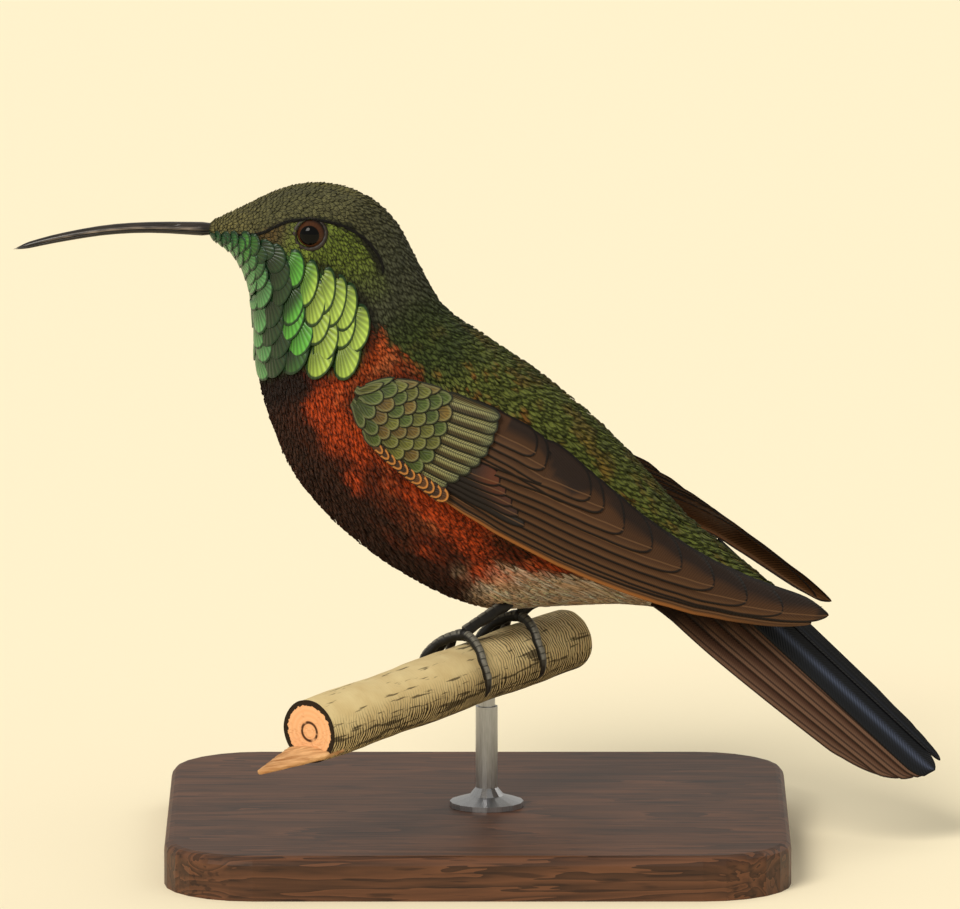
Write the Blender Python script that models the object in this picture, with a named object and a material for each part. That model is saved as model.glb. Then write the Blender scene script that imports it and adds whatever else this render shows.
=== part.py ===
"""A perched hummingbird, life size, as a still museum model on a plain stand.

The bird looks along -X, its left side towards -Y, and +Z is up. Lengths below are
millimetres and are turned to metres when a mesh is made. The origin is on the floor,
under the middle of the stand's base.

The body is one loft along the bird, parted by thin cuts into head, neck, breast, belly
and rump. It is level at the head and rolls towards its left side on the way to the tail,
so the wings and the tail follow a twisted back.
"""

import math

import bmesh
import bpy
from mathutils import Vector
from mathutils.bvhtree import BVHTree

MM = 0.001
GAP = 0.3  # clear space between neighbouring solids

# Body: the back line and the belly line as (x, z), half the width, and the roll in degrees.
BODY = [
    ("bill root", (-36.5, 85.8), (-36.4, 83.7), 1.3, 0),
    ("lores", (-32.0, 87.7), (-33.2, 81.9), 3.3, 0),
    ("brow", (-26.7, 90.2), (-31.7, 79.4), 5.6, 0),
    ("crown", (-21.0, 91.2), (-30.7, 76.3), 6.7, 0),
    ("hind crown", (-15.4, 89.8), (-30.4, 72.3), 7.2, 0),
    ("nape", (-11.1, 86.3), (-30.2, 68.0), 7.9, 1),
    ("hind neck", (-8.1, 80.8), (-29.4, 63.2), 9.2, 3),
    ("mantle", (-4.6, 74.5), (-27.5, 56.7), 10.8, 5),
    ("shoulders", (1.6, 70.2), (-24.1, 49.9), 11.7, 8),
    ("back", (9.3, 65.1), (-18.2, 43.2), 12.0, 11),
    ("mid back", (16.8, 58.9), (-10.0, 37.0), 11.6, 14),
    ("loin", (22.8, 52.8), (-0.4, 32.6), 10.4, 18),
    ("rump", (28.7, 46.1), (9.1, 32.9), 8.8, 23),
    ("tail coverts", (34.8, 40.6), (19.2, 33.6), 7.4, 27),
    ("covert tips", (39.8, 36.4), (28.0, 32.5), 5.4, 30),
    ("last coverts", (42.6, 34.0), (34.6, 31.0), 3.4, 32),
]
BODY_PARTS = [  # node, first and last station, and its material
    ("head", 0, 4.5, "crown_feathers"),
    ("neck", 4.5, 7, "mantle_feathers"),
    ("breast", 7, 9.5, "breast_feathers"),
    ("belly", 9.5, 12, "breast_feathers"),
    ("rump", 12, 15, "mantle_feathers"),
]
BODY_SIDES = 24
BODY_STEP = 0.28  # stations between rings
BODY_SQUARENESS = 2.15  # 2 is an ellipse
CUT = 0.5  # between body parts at the middle, which leaves GAP on the tight side

EYE = {"x": -22.3, "y": 4.8, "z": 85.0, "radius": 2.4}

# Bill: its middle line as (x, z) and half its height.
BILL = [
    ((-36.9, 84.8), 0.95),
    ((-43.8, 85.0), 0.76),
    ((-50.0, 84.65), 0.69),
    ((-56.2, 83.6), 0.60),
    ((-60.4, 82.6), 0.45),
    ((-62.6, 82.0), 0.32),
]
BILL_BREADTH = 1.15  # of its height, at the root
BILL_PARTING = 0.09  # half the slit between the mandibles

# Folded wing: the line from wrist to tip, and the blade about it. Each station has the
# distance along the line, the leading edge below it and the trailing edge above it.
WING_LENGTH = 72.5
WING_OUTLINE = [
    (0.0, -0.4, 2.3),
    (3.0, -2.9, 4.5),
    (7.0, -5.3, 6.1),
    (11.0, -6.7, 6.8),
    (16.0, -7.6, 7.1),
    (23.0, -8.3, 7.0),
    (30.0, -9.0, 5.9),
    (37.0, -9.2, 3.9),
    (44.0, -9.1, 2.1),
    (51.0, -8.6, 0.9),
    (58.0, -7.3, 0.5),
    (65.0, -5.2, 0.9),
    (70.0, -2.6, 1.3),
    (72.5, -0.6, 0.5),
]
WING_LINES = {  # (x, y, z) of the line at even steps from wrist to tip, and the blade's lean in degrees
    "left": {
        "line": [
            (-16.9, -11.2, 63.0),
            (-3.9, -13.6, 57.6),
            (9.1, -13.4, 51.8),
            (22.1, -11.4, 45.6),
            (35.0, -7.2, 38.9),
            (48.0, -2.6, 32.4),
        ],
        "lean": [6, 8, 12, 20, 32, 40],
    },
    "right": {
        "line": [
            (-16.9, 11.2, 64.2),
            (-3.9, 13.6, 59.9),
            (8.6, 12.8, 55.9),
            (20.8, 10.0, 51.8),
            (34.5, 4.6, 43.4),
            (48.3, 1.2, 32.8),
        ],
        "lean": [6, 10, 20, 38, 58, 60],
    },
}
WING_CUT = 20.0  # the coverts of the forearm end here
WING_STEPS = 6  # feather edges that show across the blade
WING_STEP_HEIGHT = 0.22
WING_BLADE_THICKNESS = 0.75
WING_WRIST_THICKNESS = 2.6  # just behind the rounded bend
WING_WRIST_LENGTH = 17.0
WING_BEND_LENGTH = 5.0
WING_CAMBER = (1.8, 0.5)  # how far the blade's edges curl in, at the wrist and at the tip

# Tail: the ridge from root to tip, and half a fan on each side of it.
TAIL_ROOT = (33.0, 0.0, 39.6)
TAIL_TIP = (62.4, 0.0, 11.8)
TAIL_ROLL = 28.0
TAIL_ROOF = 28.0  # each half hangs this much below the flat
TAIL_OUTLINE = [  # distance along the ridge, and the fan's half width there
    (-3.0, 9.4),
    (3.0, 11.4),
    (9.0, 12.2),
    (16.0, 12.3),
    (22.0, 11.7),
    (27.0, 10.6),
    (32.0, 9.2),
    (36.0, 7.8),
    (39.5, 5.7),
    (41.1, 3.3),
]
TAIL_FEATHERS = 5
TAIL_THICKNESS = 0.7
TAIL_STEP_HEIGHT = 0.25

# Perch: a cut length of branch that runs from near-left to far-right, rising a little.
PERCH_MIDDLE = Vector((2.8, 0.0, 25.15))  # its axis under the bird
PERCH_PLAN_ANGLE = 52.5
PERCH_RISE_ANGLE = 4.0
PERCH_NEAR, PERCH_FAR = 41.6, 16.4  # from the middle to each end
PERCH_RADIUS = 4.35
PERCH_SIDES = 18
SPLINTER = {  # a sliver left under the near cut, with its tip towards the bird's front
    "half_width": 3.4,
    "thickness": 1.6,
    "tip_reach": 6.6,
    "tip_front": 3.4,
    "tip_drop": 1.6,
}

# Feet: where each grips along the perch, and its toes.
FEET = {"left": -7.0, "right": 5.2}
HIP = {"left": (3.4, -4.0, 33.6), "right": (11.0, 4.8, 34.6)}
TARSUS_RADIUS = 0.72
TOE_RADIUS = 0.66
TOE_SPLAY = {"front": (-26.0, 0.0, 26.0), "hind": (-24.0,)}  # from square across the perch
TOE_WRAP = {"front": 104.0, "hind": 112.0}

# Stand
BASE_SIZE = (84.0, 74.0, 6.0)
BASE_CORNER = 12.0
BASE_BEVEL = 1.2
ROD_ALONG_PERCH = -3.0
ROD_PROFILE = [(5.0, 0.0), (5.0, 0.7), (2.4, 1.5), (1.5, 2.6)]  # radius, height above the base
ROD_SIDES = 16

FINISHES = {  # sRGB hex, roughness, metallic
    "crown_feathers": ("4A4A34", 0.6, 0.0),
    "mantle_feathers": ("3F5230", 0.55, 0.1),
    "breast_feathers": ("7A2A18", 0.6, 0.0),
    "wing_coverts": ("5C6B3E", 0.55, 0.1),
    "wing_feathers": ("5A3A2A", 0.6, 0.0),
    "tail_feathers": ("5B463A", 0.55, 0.0),
    "bill_horn": ("17130F", 0.3, 0.0),
    "eye_dark": ("2A120A", 0.1, 0.0),
    "foot_scales": ("2F3030", 0.5, 0.0),
    "branch_wood": ("B8AE80", 0.8, 0.0),
    "stand_wood": ("3B2A1E", 0.4, 0.0),
    "stand_steel": ("8A8A88", 0.3, 1.0),
}


# Curves through named points

def smooth_between(before, start, end, after, t):
    """Catmull-Rom between start and end."""
    return 0.5 * (
        2 * start
        + (end - before) * t
        + (2 * before - 5 * start + 4 * end - after) * t**2
        + (3 * start - before - 3 * end + after) * t**3
    )


def on_curve(points, place):
    """The smooth curve through these vectors, at a place counted in points."""
    last = len(points) - 1
    index = min(int(place), last - 1)
    picked = [points[min(max(index + step, 0), last)] for step in (-1, 0, 1, 2)]
    return smooth_between(*picked, place - index)


def on_outline(stations, distance):
    """Straight reading of a table whose first column is a distance, smoothed between rows."""
    for index in range(len(stations) - 1):
        start, end = stations[index][0], stations[index + 1][0]
        if distance <= end or index == len(stations) - 2:
            place = index + min(max((distance - start) / (end - start), 0.0), 1.0)
            return on_curve([Vector((*row[1:], 0, 0)[:3]) for row in stations], place)


# Meshes and objects

def finish_of(name):
    material = bpy.data.materials.get(name)
    if material is None:
        colour, roughness, metallic = FINISHES[name]
        material = bpy.data.materials.new(name)
        material.use_nodes = True
        shader = material.node_tree.nodes["Principled BSDF"]
        channels = [int(colour[i : i + 2], 16) / 255 for i in (0, 2, 4)]
        shader.inputs["Base Color"].default_value = (*[c**2.2 for c in channels], 1.0)
        shader.inputs["Roughness"].default_value = roughness
        shader.inputs["Metallic"].default_value = metallic
    return material


def new_object(name, mesh_in_mm, material, sharp=40.0):
    """A named object from a bmesh in millimetres, its faces pointing out."""
    bmesh.ops.recalc_face_normals(mesh_in_mm, faces=mesh_in_mm.faces)
    bmesh.ops.scale(mesh_in_mm, vec=(MM, MM, MM), verts=mesh_in_mm.verts)
    mesh = bpy.data.meshes.new(name)
    mesh_in_mm.to_mesh(mesh)
    mesh_in_mm.free()
    mesh.shade_smooth()
    mesh.set_sharp_from_angle(angle=math.radians(sharp))
    made = bpy.data.objects.new(name, mesh)
    bpy.context.scene.collection.objects.link(made)
    mesh.materials.append(finish_of(material))
    return made


def loft(rings):
    """A closed bmesh that bridges the rings and caps both ends."""
    shape = bmesh.new()
    loops = [[shape.verts.new(point) for point in ring] for ring in rings]
    for first, second in zip(loops, loops[1:]):
        for i in range(len(first)):
            j = (i + 1) % len(first)
            shape.faces.new((first[i], first[j], second[j], second[i]))
    shape.faces.new(loops[0])
    shape.faces.new(loops[-1])
    return shape


def tube(points, radii, sides=8):
    """A closed bmesh round a path, with square ends."""
    rings = []
    across = None
    for index, point in enumerate(points):
        ahead = points[min(index + 1, len(points) - 1)] - points[max(index - 1, 0)]
        ahead.normalize()
        across = ahead.orthogonal() if across is None else across - ahead * across.dot(ahead)
        across.normalize()
        other = ahead.cross(across)
        turns = [2 * math.pi * k / sides for k in range(sides)]
        rings.append([
            point + (across * math.cos(a) + other * math.sin(a)) * radii[index] for a in turns
        ])
    return loft(rings)


def hidden_cutter(name, shape):
    cutter = new_object(name, shape, "branch_wood")
    cutter.hide_render = True
    cutter.display_type = "WIRE"
    return cutter


def cut_or_join(body, other, operation="DIFFERENCE"):
    change = body.modifiers.new(f"{operation.lower()} {other.name}", "BOOLEAN")
    change.operation = operation
    change.object = other
    change.solver = "EXACT"


# Body

def body_ring(place, grow=0.0):
    """The body's section at a station number, grown outwards all round if asked."""
    back = on_curve([Vector((s[1][0], 0, s[1][1])) for s in BODY], place)
    belly = on_curve([Vector((s[2][0], 0, s[2][1])) for s in BODY], place)
    half_width, roll = on_curve([Vector((s[3], s[4])) for s in BODY], place)
    middle = (back + belly) / 2
    depth = (back - belly).length / 2 + grow
    up = (back - belly).normalized()
    side = Vector((0, 1, 0))
    turn = math.radians(roll)
    rolled_up = up * math.cos(turn) - side * math.sin(turn)
    rolled_side = side * math.cos(turn) + up * math.sin(turn)
    ring = []
    for k in range(BODY_SIDES):
        angle = 2 * math.pi * k / BODY_SIDES
        c, s = math.cos(angle), math.sin(angle)
        reach = (abs(c) ** BODY_SQUARENESS + abs(s) ** BODY_SQUARENESS) ** (-1 / BODY_SQUARENESS)
        ring.append(
            middle + rolled_up * (c * reach * depth) + rolled_side * (s * reach * (half_width + grow))
        )
    return ring


def body_middle(place):
    ring = body_ring(place)
    return sum(ring, Vector()) / len(ring)


def body_loft(first, last, grow=0.0):
    count = max(2, round((last - first) / BODY_STEP))
    return loft([body_ring(first + (last - first) * i / count, grow) for i in range(count + 1)])


def make_body():
    """The flesh nodes, each a stretch of the one loft, with a thin cut between them."""
    made = {}
    for name, first, last, material in BODY_PARTS:
        pace = (body_middle(min(first + 0.1, last)) - body_middle(first)).length / 0.1
        start = first + (CUT / pace if first > 0 else 0.0)
        made[name] = new_object(name, body_loft(start, last), material)
    return made


def make_eyes(head):
    """Eyeballs, in sockets cut from the head."""
    for side, sign in (("left", -1), ("right", 1)):
        centre = Vector((EYE["x"], sign * EYE["y"], EYE["z"]))
        for name, radius in ((f"eye_{side}", EYE["radius"]), (f"socket_{side}", EYE["radius"] + GAP)):
            ball = bmesh.new()
            bmesh.ops.create_uvsphere(ball, u_segments=16, v_segments=10, radius=radius)
            bmesh.ops.translate(ball, verts=ball.verts, vec=centre)
            if name.startswith("eye"):
                new_object(name, ball, "eye_dark")
            else:
                cut_or_join(head, hidden_cutter(name, ball))


def make_bill():
    """Two half-round mandibles along one downward curve."""
    middles = [Vector((p[0], 0, p[1])) for p, _ in BILL]
    heights = [Vector((h, 0)) for _, h in BILL]
    steps = 14
    halves = 7
    for name, sign in (("bill_upper", 1), ("bill_lower", -1)):
        rings = []
        for i in range(steps + 1):
            place = (len(BILL) - 1) * i / steps
            middle, height = on_curve(middles, place), on_curve(heights, place)[0]
            ahead = on_curve(middles, min(place + 0.05, len(BILL) - 1)) - on_curve(middles, max(place - 0.05, 0))
            up = Vector((ahead.z, 0, -ahead.x)).normalized()
            breadth = height * (BILL_BREADTH + 0.1 * (1 - i / steps))
            rings.append([
                middle
                + up * (sign * (BILL_PARTING + math.sin(math.pi * k / halves) * (height - BILL_PARTING)))
                + Vector((0, math.cos(math.pi * k / halves) * breadth, 0))
                for k in range(halves + 1)
            ])
        new_object(name, loft(rings), "bill_horn")


# Wings

def wing_frame(side, distance):
    """A point of the wing's line, the direction across the blade and the way out of it."""
    shape = WING_LINES[side]
    line = [Vector(p) for p in shape["line"]]
    place = (len(line) - 1) * distance / WING_LENGTH
    point = on_curve(line, place)
    ahead = on_curve(line, min(place + 0.05, len(line) - 1)) - on_curve(line, max(place - 0.05, 0))
    ahead.normalize()
    sign = -1 if side == "left" else 1
    up = (Vector((0, 0, 1)) - ahead * ahead.z).normalized()
    out = up.cross(ahead) * sign
    if out.y * sign < 0:
        out = -out
    lean = math.radians(on_curve([Vector((a, 0)) for a in shape["lean"]], place)[0])
    across = up * math.cos(lean) - out * math.sin(lean)
    return point, across, out * math.cos(lean) + up * math.sin(lean)


def height_over_body(body_tree, point, out):
    """How far out the body's skin lies from this point, far below it where there is none."""
    reach = 9.0
    hit = body_tree.ray_cast(point + out * reach, -out, 2 * reach)
    return reach - hit[3] if hit[0] is not None else -reach


def wing_ring(side, distance, body_tree):
    """The blade's section: feather steps outside, smooth inside, lifted clear of the body."""
    point, across, out = wing_frame(side, distance)
    low, high = on_outline(WING_OUTLINE, distance)[:2]
    wrist = math.exp(-((distance / WING_WRIST_LENGTH) ** 2))
    wrist *= math.sin(min(distance / WING_BEND_LENGTH, 1.0) * math.pi / 2)
    camber = WING_CAMBER[0] + (WING_CAMBER[1] - WING_CAMBER[0]) * distance / WING_LENGTH
    fade = min(1.0, distance / 12.0)
    outer, inner = [], []
    samples = 2 * WING_STEPS + 1
    for i in range(samples):
        share = i / (samples - 1)
        flat = point + across * (low + (high - low) * share)
        lift = max(-camber * (2 * share - 1) ** 2, height_over_body(body_tree, flat, out))
        crown = 1 - (2 * share - 1) ** 4
        thickness = WING_BLADE_THICKNESS + (WING_WRIST_THICKNESS - WING_BLADE_THICKNESS) * wrist * crown
        step = WING_STEP_HEIGHT * fade * (i % 2)
        outer.append(flat + out * (lift + thickness + step))
        if i % 2 == 0:
            inner.append(flat + out * lift)
    return outer + inner[::-1]


def make_wing(side, body_tree):
    for name, first, last, rings, material in (
        (f"wing_{side}_coverts", 0.0, WING_CUT - GAP / 2, 9, "wing_coverts"),
        (f"wing_{side}_flight", WING_CUT + GAP / 2, WING_LENGTH, 17, "wing_feathers"),
    ):
        stops = [first + (last - first) * i / (rings - 1) for i in range(rings)]
        new_object(name, loft([wing_ring(side, s, body_tree) for s in stops]), material)


# Tail

def tail_frame(sign):
    """The ridge's direction, the way across this half and the way up from it."""
    ahead = (Vector(TAIL_TIP) - Vector(TAIL_ROOT)).normalized()
    up = (Vector((0, 0, 1)) - ahead * ahead.z).normalized()
    side = Vector((0, sign, 0))
    drop = math.radians(TAIL_ROOF - sign * TAIL_ROLL)
    return ahead, side * math.cos(drop) - up * math.sin(drop), up * math.cos(drop) + side * math.sin(drop)


def make_tail_half(side, sign, rump_cutter):
    """Half the fan, stepped where one feather's edge lies on the next."""
    ahead, across, up = tail_frame(sign)
    root = Vector(TAIL_ROOT)
    rings = []
    rows = 16
    for i in range(rows):
        distance = TAIL_OUTLINE[0][0] + (TAIL_OUTLINE[-1][0] - TAIL_OUTLINE[0][0]) * i / (rows - 1)
        width = on_outline(TAIL_OUTLINE, distance)[0]
        top, bottom = [], []
        samples = 2 * TAIL_FEATHERS + 1
        for k in range(samples):
            share = k / (samples - 1)
            spot = root + ahead * distance + across * (GAP + (width - GAP) * share)
            step = TAIL_STEP_HEIGHT * (k % 2)
            top.append(spot + up * (TAIL_THICKNESS / 2 + step))
            if k % 2 == 0:
                bottom.append(spot - up * (TAIL_THICKNESS / 2))
        rings.append(top + bottom[::-1])
    half = new_object(f"tail_{side}", loft(rings), "tail_feathers")
    cut_or_join(half, rump_cutter)


# Perch and feet

def perch_axes():
    """Along the perch to the far end, up from it, and across it to the bird's front."""
    plan, rise = math.radians(PERCH_PLAN_ANGLE), math.radians(PERCH_RISE_ANGLE)
    along = Vector((
        math.cos(plan) * math.cos(rise), math.sin(plan) * math.cos(rise), math.sin(rise)
    ))
    up = (Vector((0, 0, 1)) - along * along.z).normalized()
    return along, up, up.cross(along)


def make_perch():
    along, up, front = perch_axes()
    rings = []
    steps = 12
    stops = [-PERCH_NEAR + (PERCH_NEAR + PERCH_FAR) * i / steps for i in range(steps + 1)]
    stops[-1:] = [PERCH_FAR - 1.2, PERCH_FAR]  # the far end is worn round
    for stop in stops:
        radius = PERCH_RADIUS * (1 + 0.02 * math.sin(stop * 0.31))
        if stop == PERCH_FAR:
            radius -= 1.0
        rings.append([
            PERCH_MIDDLE + along * stop
            + (up * math.cos(a) + front * math.sin(a)) * radius * (1 + 0.015 * math.sin(3 * a + stop * 0.1))
            for a in (2 * math.pi * k / PERCH_SIDES for k in range(PERCH_SIDES))
        ])
    perch = new_object("perch_branch", loft(rings), "branch_wood", sharp=50)
    cut_or_join(perch, hidden_cutter("splinter", splinter_shape()), "UNION")


def splinter_shape():
    """A flat wedge that starts inside the branch and tapers beyond its near end."""
    along, up, front = perch_axes()
    inside = 3.0
    start = PERCH_MIDDLE - along * (PERCH_NEAR - inside) - up * (PERCH_RADIUS - SPLINTER["thickness"])
    rings = []
    for share, narrow in ((0.0, 1.0), (0.33, 0.95), (0.68, 0.5), (1.0, 0.12)):
        beyond = max(0.0, share - 0.33) / 0.67
        middle = (
            start
            - along * ((inside + SPLINTER["tip_reach"]) * share)
            + front * (SPLINTER["tip_front"] * beyond)
            - up * (SPLINTER["tip_drop"] * beyond)
        )
        wide = front * (SPLINTER["half_width"] * narrow)
        thick = up * (SPLINTER["thickness"] * (0.35 + 0.65 * narrow) / 2)
        rings.append([
            middle + wide,
            middle + thick + wide * 0.5,
            middle + thick - wide * 0.5,
            middle - wide,
            middle - thick - wide * 0.4,
            middle - thick + wide * 0.4,
        ])
    return loft(rings)


def toe_path(grip, splay, wrap, way):
    """Points over the perch from its top, round towards the front (way 1) or the back (-1)."""
    along, up, front = perch_axes()
    reach = PERCH_RADIUS + GAP + TOE_RADIUS * 1.1 + 0.15
    steps = 8
    points = []
    for i in range(steps + 1):
        degrees = wrap * i / steps
        angle = math.radians(degrees)
        slide = math.tan(math.radians(splay)) * reach * math.radians(min(degrees, 60.0))
        outwards = up * math.cos(angle) + front * (way * math.sin(angle))
        points.append(PERCH_MIDDLE + along * (grip + slide) + outwards * reach)
    return points


def toe_radii(count):
    """Thick at the root, three pads, and a claw that runs to a point."""
    radii = []
    for i in range(count):
        share = i / (count - 1)
        pad = 1.0 + 0.1 * math.sin(share * 7 * math.pi)
        claw = 1.0 if share < 0.72 else 1 - (share - 0.72) / 0.28 * 0.6
        radii.append(TOE_RADIUS * pad * claw)
    return radii


def make_leg(side, body_cutter):
    """The tarsus, and the foot that grips the perch with three toes ahead and one behind."""
    along, up, front = perch_axes()
    grip = FEET[side]
    ankle = PERCH_MIDDLE + along * grip + up * (PERCH_RADIUS + GAP + TOE_RADIUS + 0.75)
    hip = Vector(HIP[side])
    down = ankle - hip
    steps = 5
    shank = [hip + down * (0.93 * i / steps) for i in range(steps + 1)]
    girths = [TARSUS_RADIUS * (1.25 - 0.25 * i / steps) for i in range(steps + 1)]
    leg = new_object(f"leg_{side}", tube(shank, girths), "foot_scales")
    cut_or_join(leg, body_cutter)
    hub = bmesh.new()
    bmesh.ops.create_uvsphere(hub, u_segments=10, v_segments=6, radius=TOE_RADIUS + 0.2)
    bmesh.ops.translate(hub, verts=hub.verts, vec=ankle - up * 0.55)
    foot = new_object(f"foot_{side}", hub, "foot_scales")
    for place, way in (("front", 1), ("hind", -1)):
        for index, splay in enumerate(TOE_SPLAY[place]):
            path = toe_path(grip, splay, TOE_WRAP[place], way)
            toe = tube(path, toe_radii(len(path)), sides=6)
            cut_or_join(foot, hidden_cutter(f"toe_{side}_{place}_{index}", toe), "UNION")
    sheath = tube([shank[0], shank[-1] + down.normalized() * GAP], [TARSUS_RADIUS + 2 * GAP] * 2)
    cut_or_join(foot, hidden_cutter(f"sheath_{side}", sheath))


# Stand

def make_stand():
    width, depth, height = BASE_SIZE
    base = bmesh.new()
    bmesh.ops.create_cube(base, size=1.0)
    bmesh.ops.scale(base, vec=BASE_SIZE, verts=base.verts)
    bmesh.ops.translate(base, vec=(0, 0, height / 2), verts=base.verts)
    uprights = [e for e in base.edges if abs(e.verts[0].co.z - e.verts[1].co.z) > height / 2]
    bmesh.ops.bevel(base, geom=uprights, offset=BASE_CORNER, segments=6, profile=0.5, affect="EDGES")
    rim = [e for e in base.edges if all(v.co.z > height - 0.01 for v in e.verts)]
    bmesh.ops.bevel(base, geom=rim, offset=BASE_BEVEL, segments=3, profile=0.5, affect="EDGES")
    new_object("stand_base", base, "stand_wood")

    along, up, _ = perch_axes()
    top = PERCH_MIDDLE + along * ROD_ALONG_PERCH - up * (PERCH_RADIUS + GAP + 0.5)
    foot = height + GAP / 10
    profile = ROD_PROFILE + [(ROD_PROFILE[-1][0], top.z - foot)]
    rings = [
        [
            Vector((top.x + radius * math.cos(a), top.y + radius * math.sin(a), foot + rise))
            for a in (2 * math.pi * k / ROD_SIDES for k in range(ROD_SIDES))
        ]
        for radius, rise in profile
    ]
    new_object("stand_rod", loft(rings), "stand_steel")


def main():
    for old in list(bpy.data.objects):
        bpy.data.objects.remove(old)
    body = make_body()
    make_eyes(body["head"])
    make_bill()
    whole = body_loft(0, len(BODY) - 1, grow=GAP + 0.1)
    whole.faces.ensure_lookup_table()
    body_tree = BVHTree.FromBMesh(whole)
    whole.free()
    for side in ("left", "right"):
        make_wing(side, body_tree)
    rump_cutter = hidden_cutter("rump_clearance", body_loft(11, len(BODY) - 1, grow=GAP))
    for side, sign in (("left", -1), ("right", 1)):
        make_tail_half(side, sign, rump_cutter)
    belly_cutter = hidden_cutter("belly_clearance", body_loft(9, 13.5, grow=GAP))
    make_perch()
    for side in ("left", "right"):
        make_leg(side, belly_cutter)
    make_stand()


main()
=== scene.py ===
import math
from functools import partial
import bmesh
import bpy
import numpy as np
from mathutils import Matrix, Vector
from mathutils.bvhtree import BVHTree


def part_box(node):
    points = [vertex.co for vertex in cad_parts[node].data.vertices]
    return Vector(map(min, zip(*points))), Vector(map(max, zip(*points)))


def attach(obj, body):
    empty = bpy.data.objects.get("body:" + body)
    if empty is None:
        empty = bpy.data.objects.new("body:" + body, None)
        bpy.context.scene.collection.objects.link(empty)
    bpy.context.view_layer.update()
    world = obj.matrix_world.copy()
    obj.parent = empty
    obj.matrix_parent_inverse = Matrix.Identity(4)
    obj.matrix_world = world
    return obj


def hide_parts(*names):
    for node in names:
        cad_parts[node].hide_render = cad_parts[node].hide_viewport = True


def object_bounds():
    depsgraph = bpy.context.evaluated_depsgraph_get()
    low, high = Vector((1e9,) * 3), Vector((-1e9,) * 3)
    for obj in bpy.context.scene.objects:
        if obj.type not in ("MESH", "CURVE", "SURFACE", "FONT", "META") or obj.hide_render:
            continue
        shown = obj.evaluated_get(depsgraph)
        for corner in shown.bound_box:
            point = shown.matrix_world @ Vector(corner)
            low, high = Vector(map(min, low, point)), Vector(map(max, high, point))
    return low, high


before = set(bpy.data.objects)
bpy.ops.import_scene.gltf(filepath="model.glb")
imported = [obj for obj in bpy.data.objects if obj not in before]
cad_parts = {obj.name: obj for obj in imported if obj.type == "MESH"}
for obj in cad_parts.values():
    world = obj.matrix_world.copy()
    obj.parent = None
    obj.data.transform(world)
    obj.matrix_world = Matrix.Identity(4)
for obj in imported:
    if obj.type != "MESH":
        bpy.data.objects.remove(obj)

# A life-size hummingbird on a cut branch and a plain stand. Lengths here are millimetres
# and become metres when a piece is made. The bird looks along -X, its left side is -Y.

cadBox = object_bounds()
mm = 0.001
chance = np.random.default_rng(11)


# Shared helpers

def srgb(hexColour):  # sRGB hex to linear values
    channels = [int(hexColour[k:k + 2], 16) / 255 for k in (0, 2, 4)]
    return tuple(c / 12.92 if c <= 0.04045 else ((c + 0.055) / 1.055) ** 2.4 for c in channels)


def ramp(low, high, value):  # a smooth step from 0 at low to 1 at high
    t = np.clip((value - low) / (high - low), 0, 1)
    return t * t * (3 - 2 * t)


def along(points, place):  # Catmull-Rom through points, place counted in points, as arrays
    points = np.asarray(points, float)
    last = len(points) - 1
    index = np.clip(np.floor(place).astype(int), 0, last - 1)
    t = (np.asarray(place) - index)[..., None]
    a, b, c, d = (points[np.clip(index + k, 0, last)] for k in (-1, 0, 1, 2))
    return 0.5 * (2 * b + (c - a) * t + (2 * a - 5 * b + 4 * c - d) * t**2
                  + (3 * b - a - 3 * c + d) * t**3)


def evenly(points, step):  # the smooth curve through points, read every step millimetres
    dense = along(points, np.linspace(0, len(points) - 1, 60 * len(points)))
    run = np.concatenate([[0], np.cumsum(np.linalg.norm(np.diff(dense, axis=0), axis=1))])
    places = np.linspace(0, run[-1], int(round(run[-1] / step)) + 1)
    return np.stack([np.interp(places, run, dense[:, k]) for k in range(3)], axis=1), places


def soften(values):  # in place, along the first axis
    values[1:-1] = (values[:-2] + 2 * values[1:-1] + values[2:]) / 4


def unit(vectors):
    return vectors / np.maximum(np.linalg.norm(vectors, axis=-1, keepdims=True), 1e-12)


def nodeShape(*names):  # CAD nodes as one merged bmesh in millimetres
    shape = bmesh.new()
    for name in names:
        shape.from_mesh(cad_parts[name].data)
    bmesh.ops.scale(shape, vec=(1 / mm, 1 / mm, 1 / mm), verts=shape.verts)
    bmesh.ops.remove_doubles(shape, verts=shape.verts, dist=0.001)
    return shape


def middleOf(name):  # centre of a solid's volume
    shape = nodeShape(name)
    bmesh.ops.triangulate(shape, faces=shape.faces)
    weighed, volume = Vector(), 0.0
    for face in shape.faces:
        a, b, c = (v.co for v in face.verts)
        part = a.dot(b.cross(c))
        weighed += (a + b + c) * part
        volume += part
    shape.free()
    return np.array(weighed / (4 * volume))


def loft(shape, rings, values=None, layerName="", closed=False):
    # rings of points, each with as many points, skinned one to the next, then capped or closed
    layer = shape.verts.layers.float_color.get(layerName) if layerName else None
    count = len(rings[0])
    row = bmesh.ops.create_circle(shape, segments=count, radius=1.0)["verts"]
    edges = [shape.edges.get((row[k], row[(k + 1) % count])) for k in range(count)]
    firstRow, firstEdges = row, edges
    for i, ring in enumerate(rings):
        if i:
            made = bmesh.ops.extrude_edge_only(shape, edges=edges)["geom"]
            fresh = {item for item in made if isinstance(item, bmesh.types.BMVert)}
            row = [next(e.other_vert(v) for e in v.link_edges if e.other_vert(v) in fresh)
                   for v in row]
            edges = [shape.edges.get((row[k], row[(k + 1) % count])) for k in range(count)]
        for k, v in enumerate(row):
            v.co = ring[k]
            if layer:
                v[layer] = (*values[i][k], 1.0)
    if closed:
        bmesh.ops.bridge_loops(shape, edges=firstEdges + edges)
        return
    for end in (firstRow, row):
        bmesh.ops.contextual_create(shape, geom=end)


# Camera: a long lens from the bird's left, a little above

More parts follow.
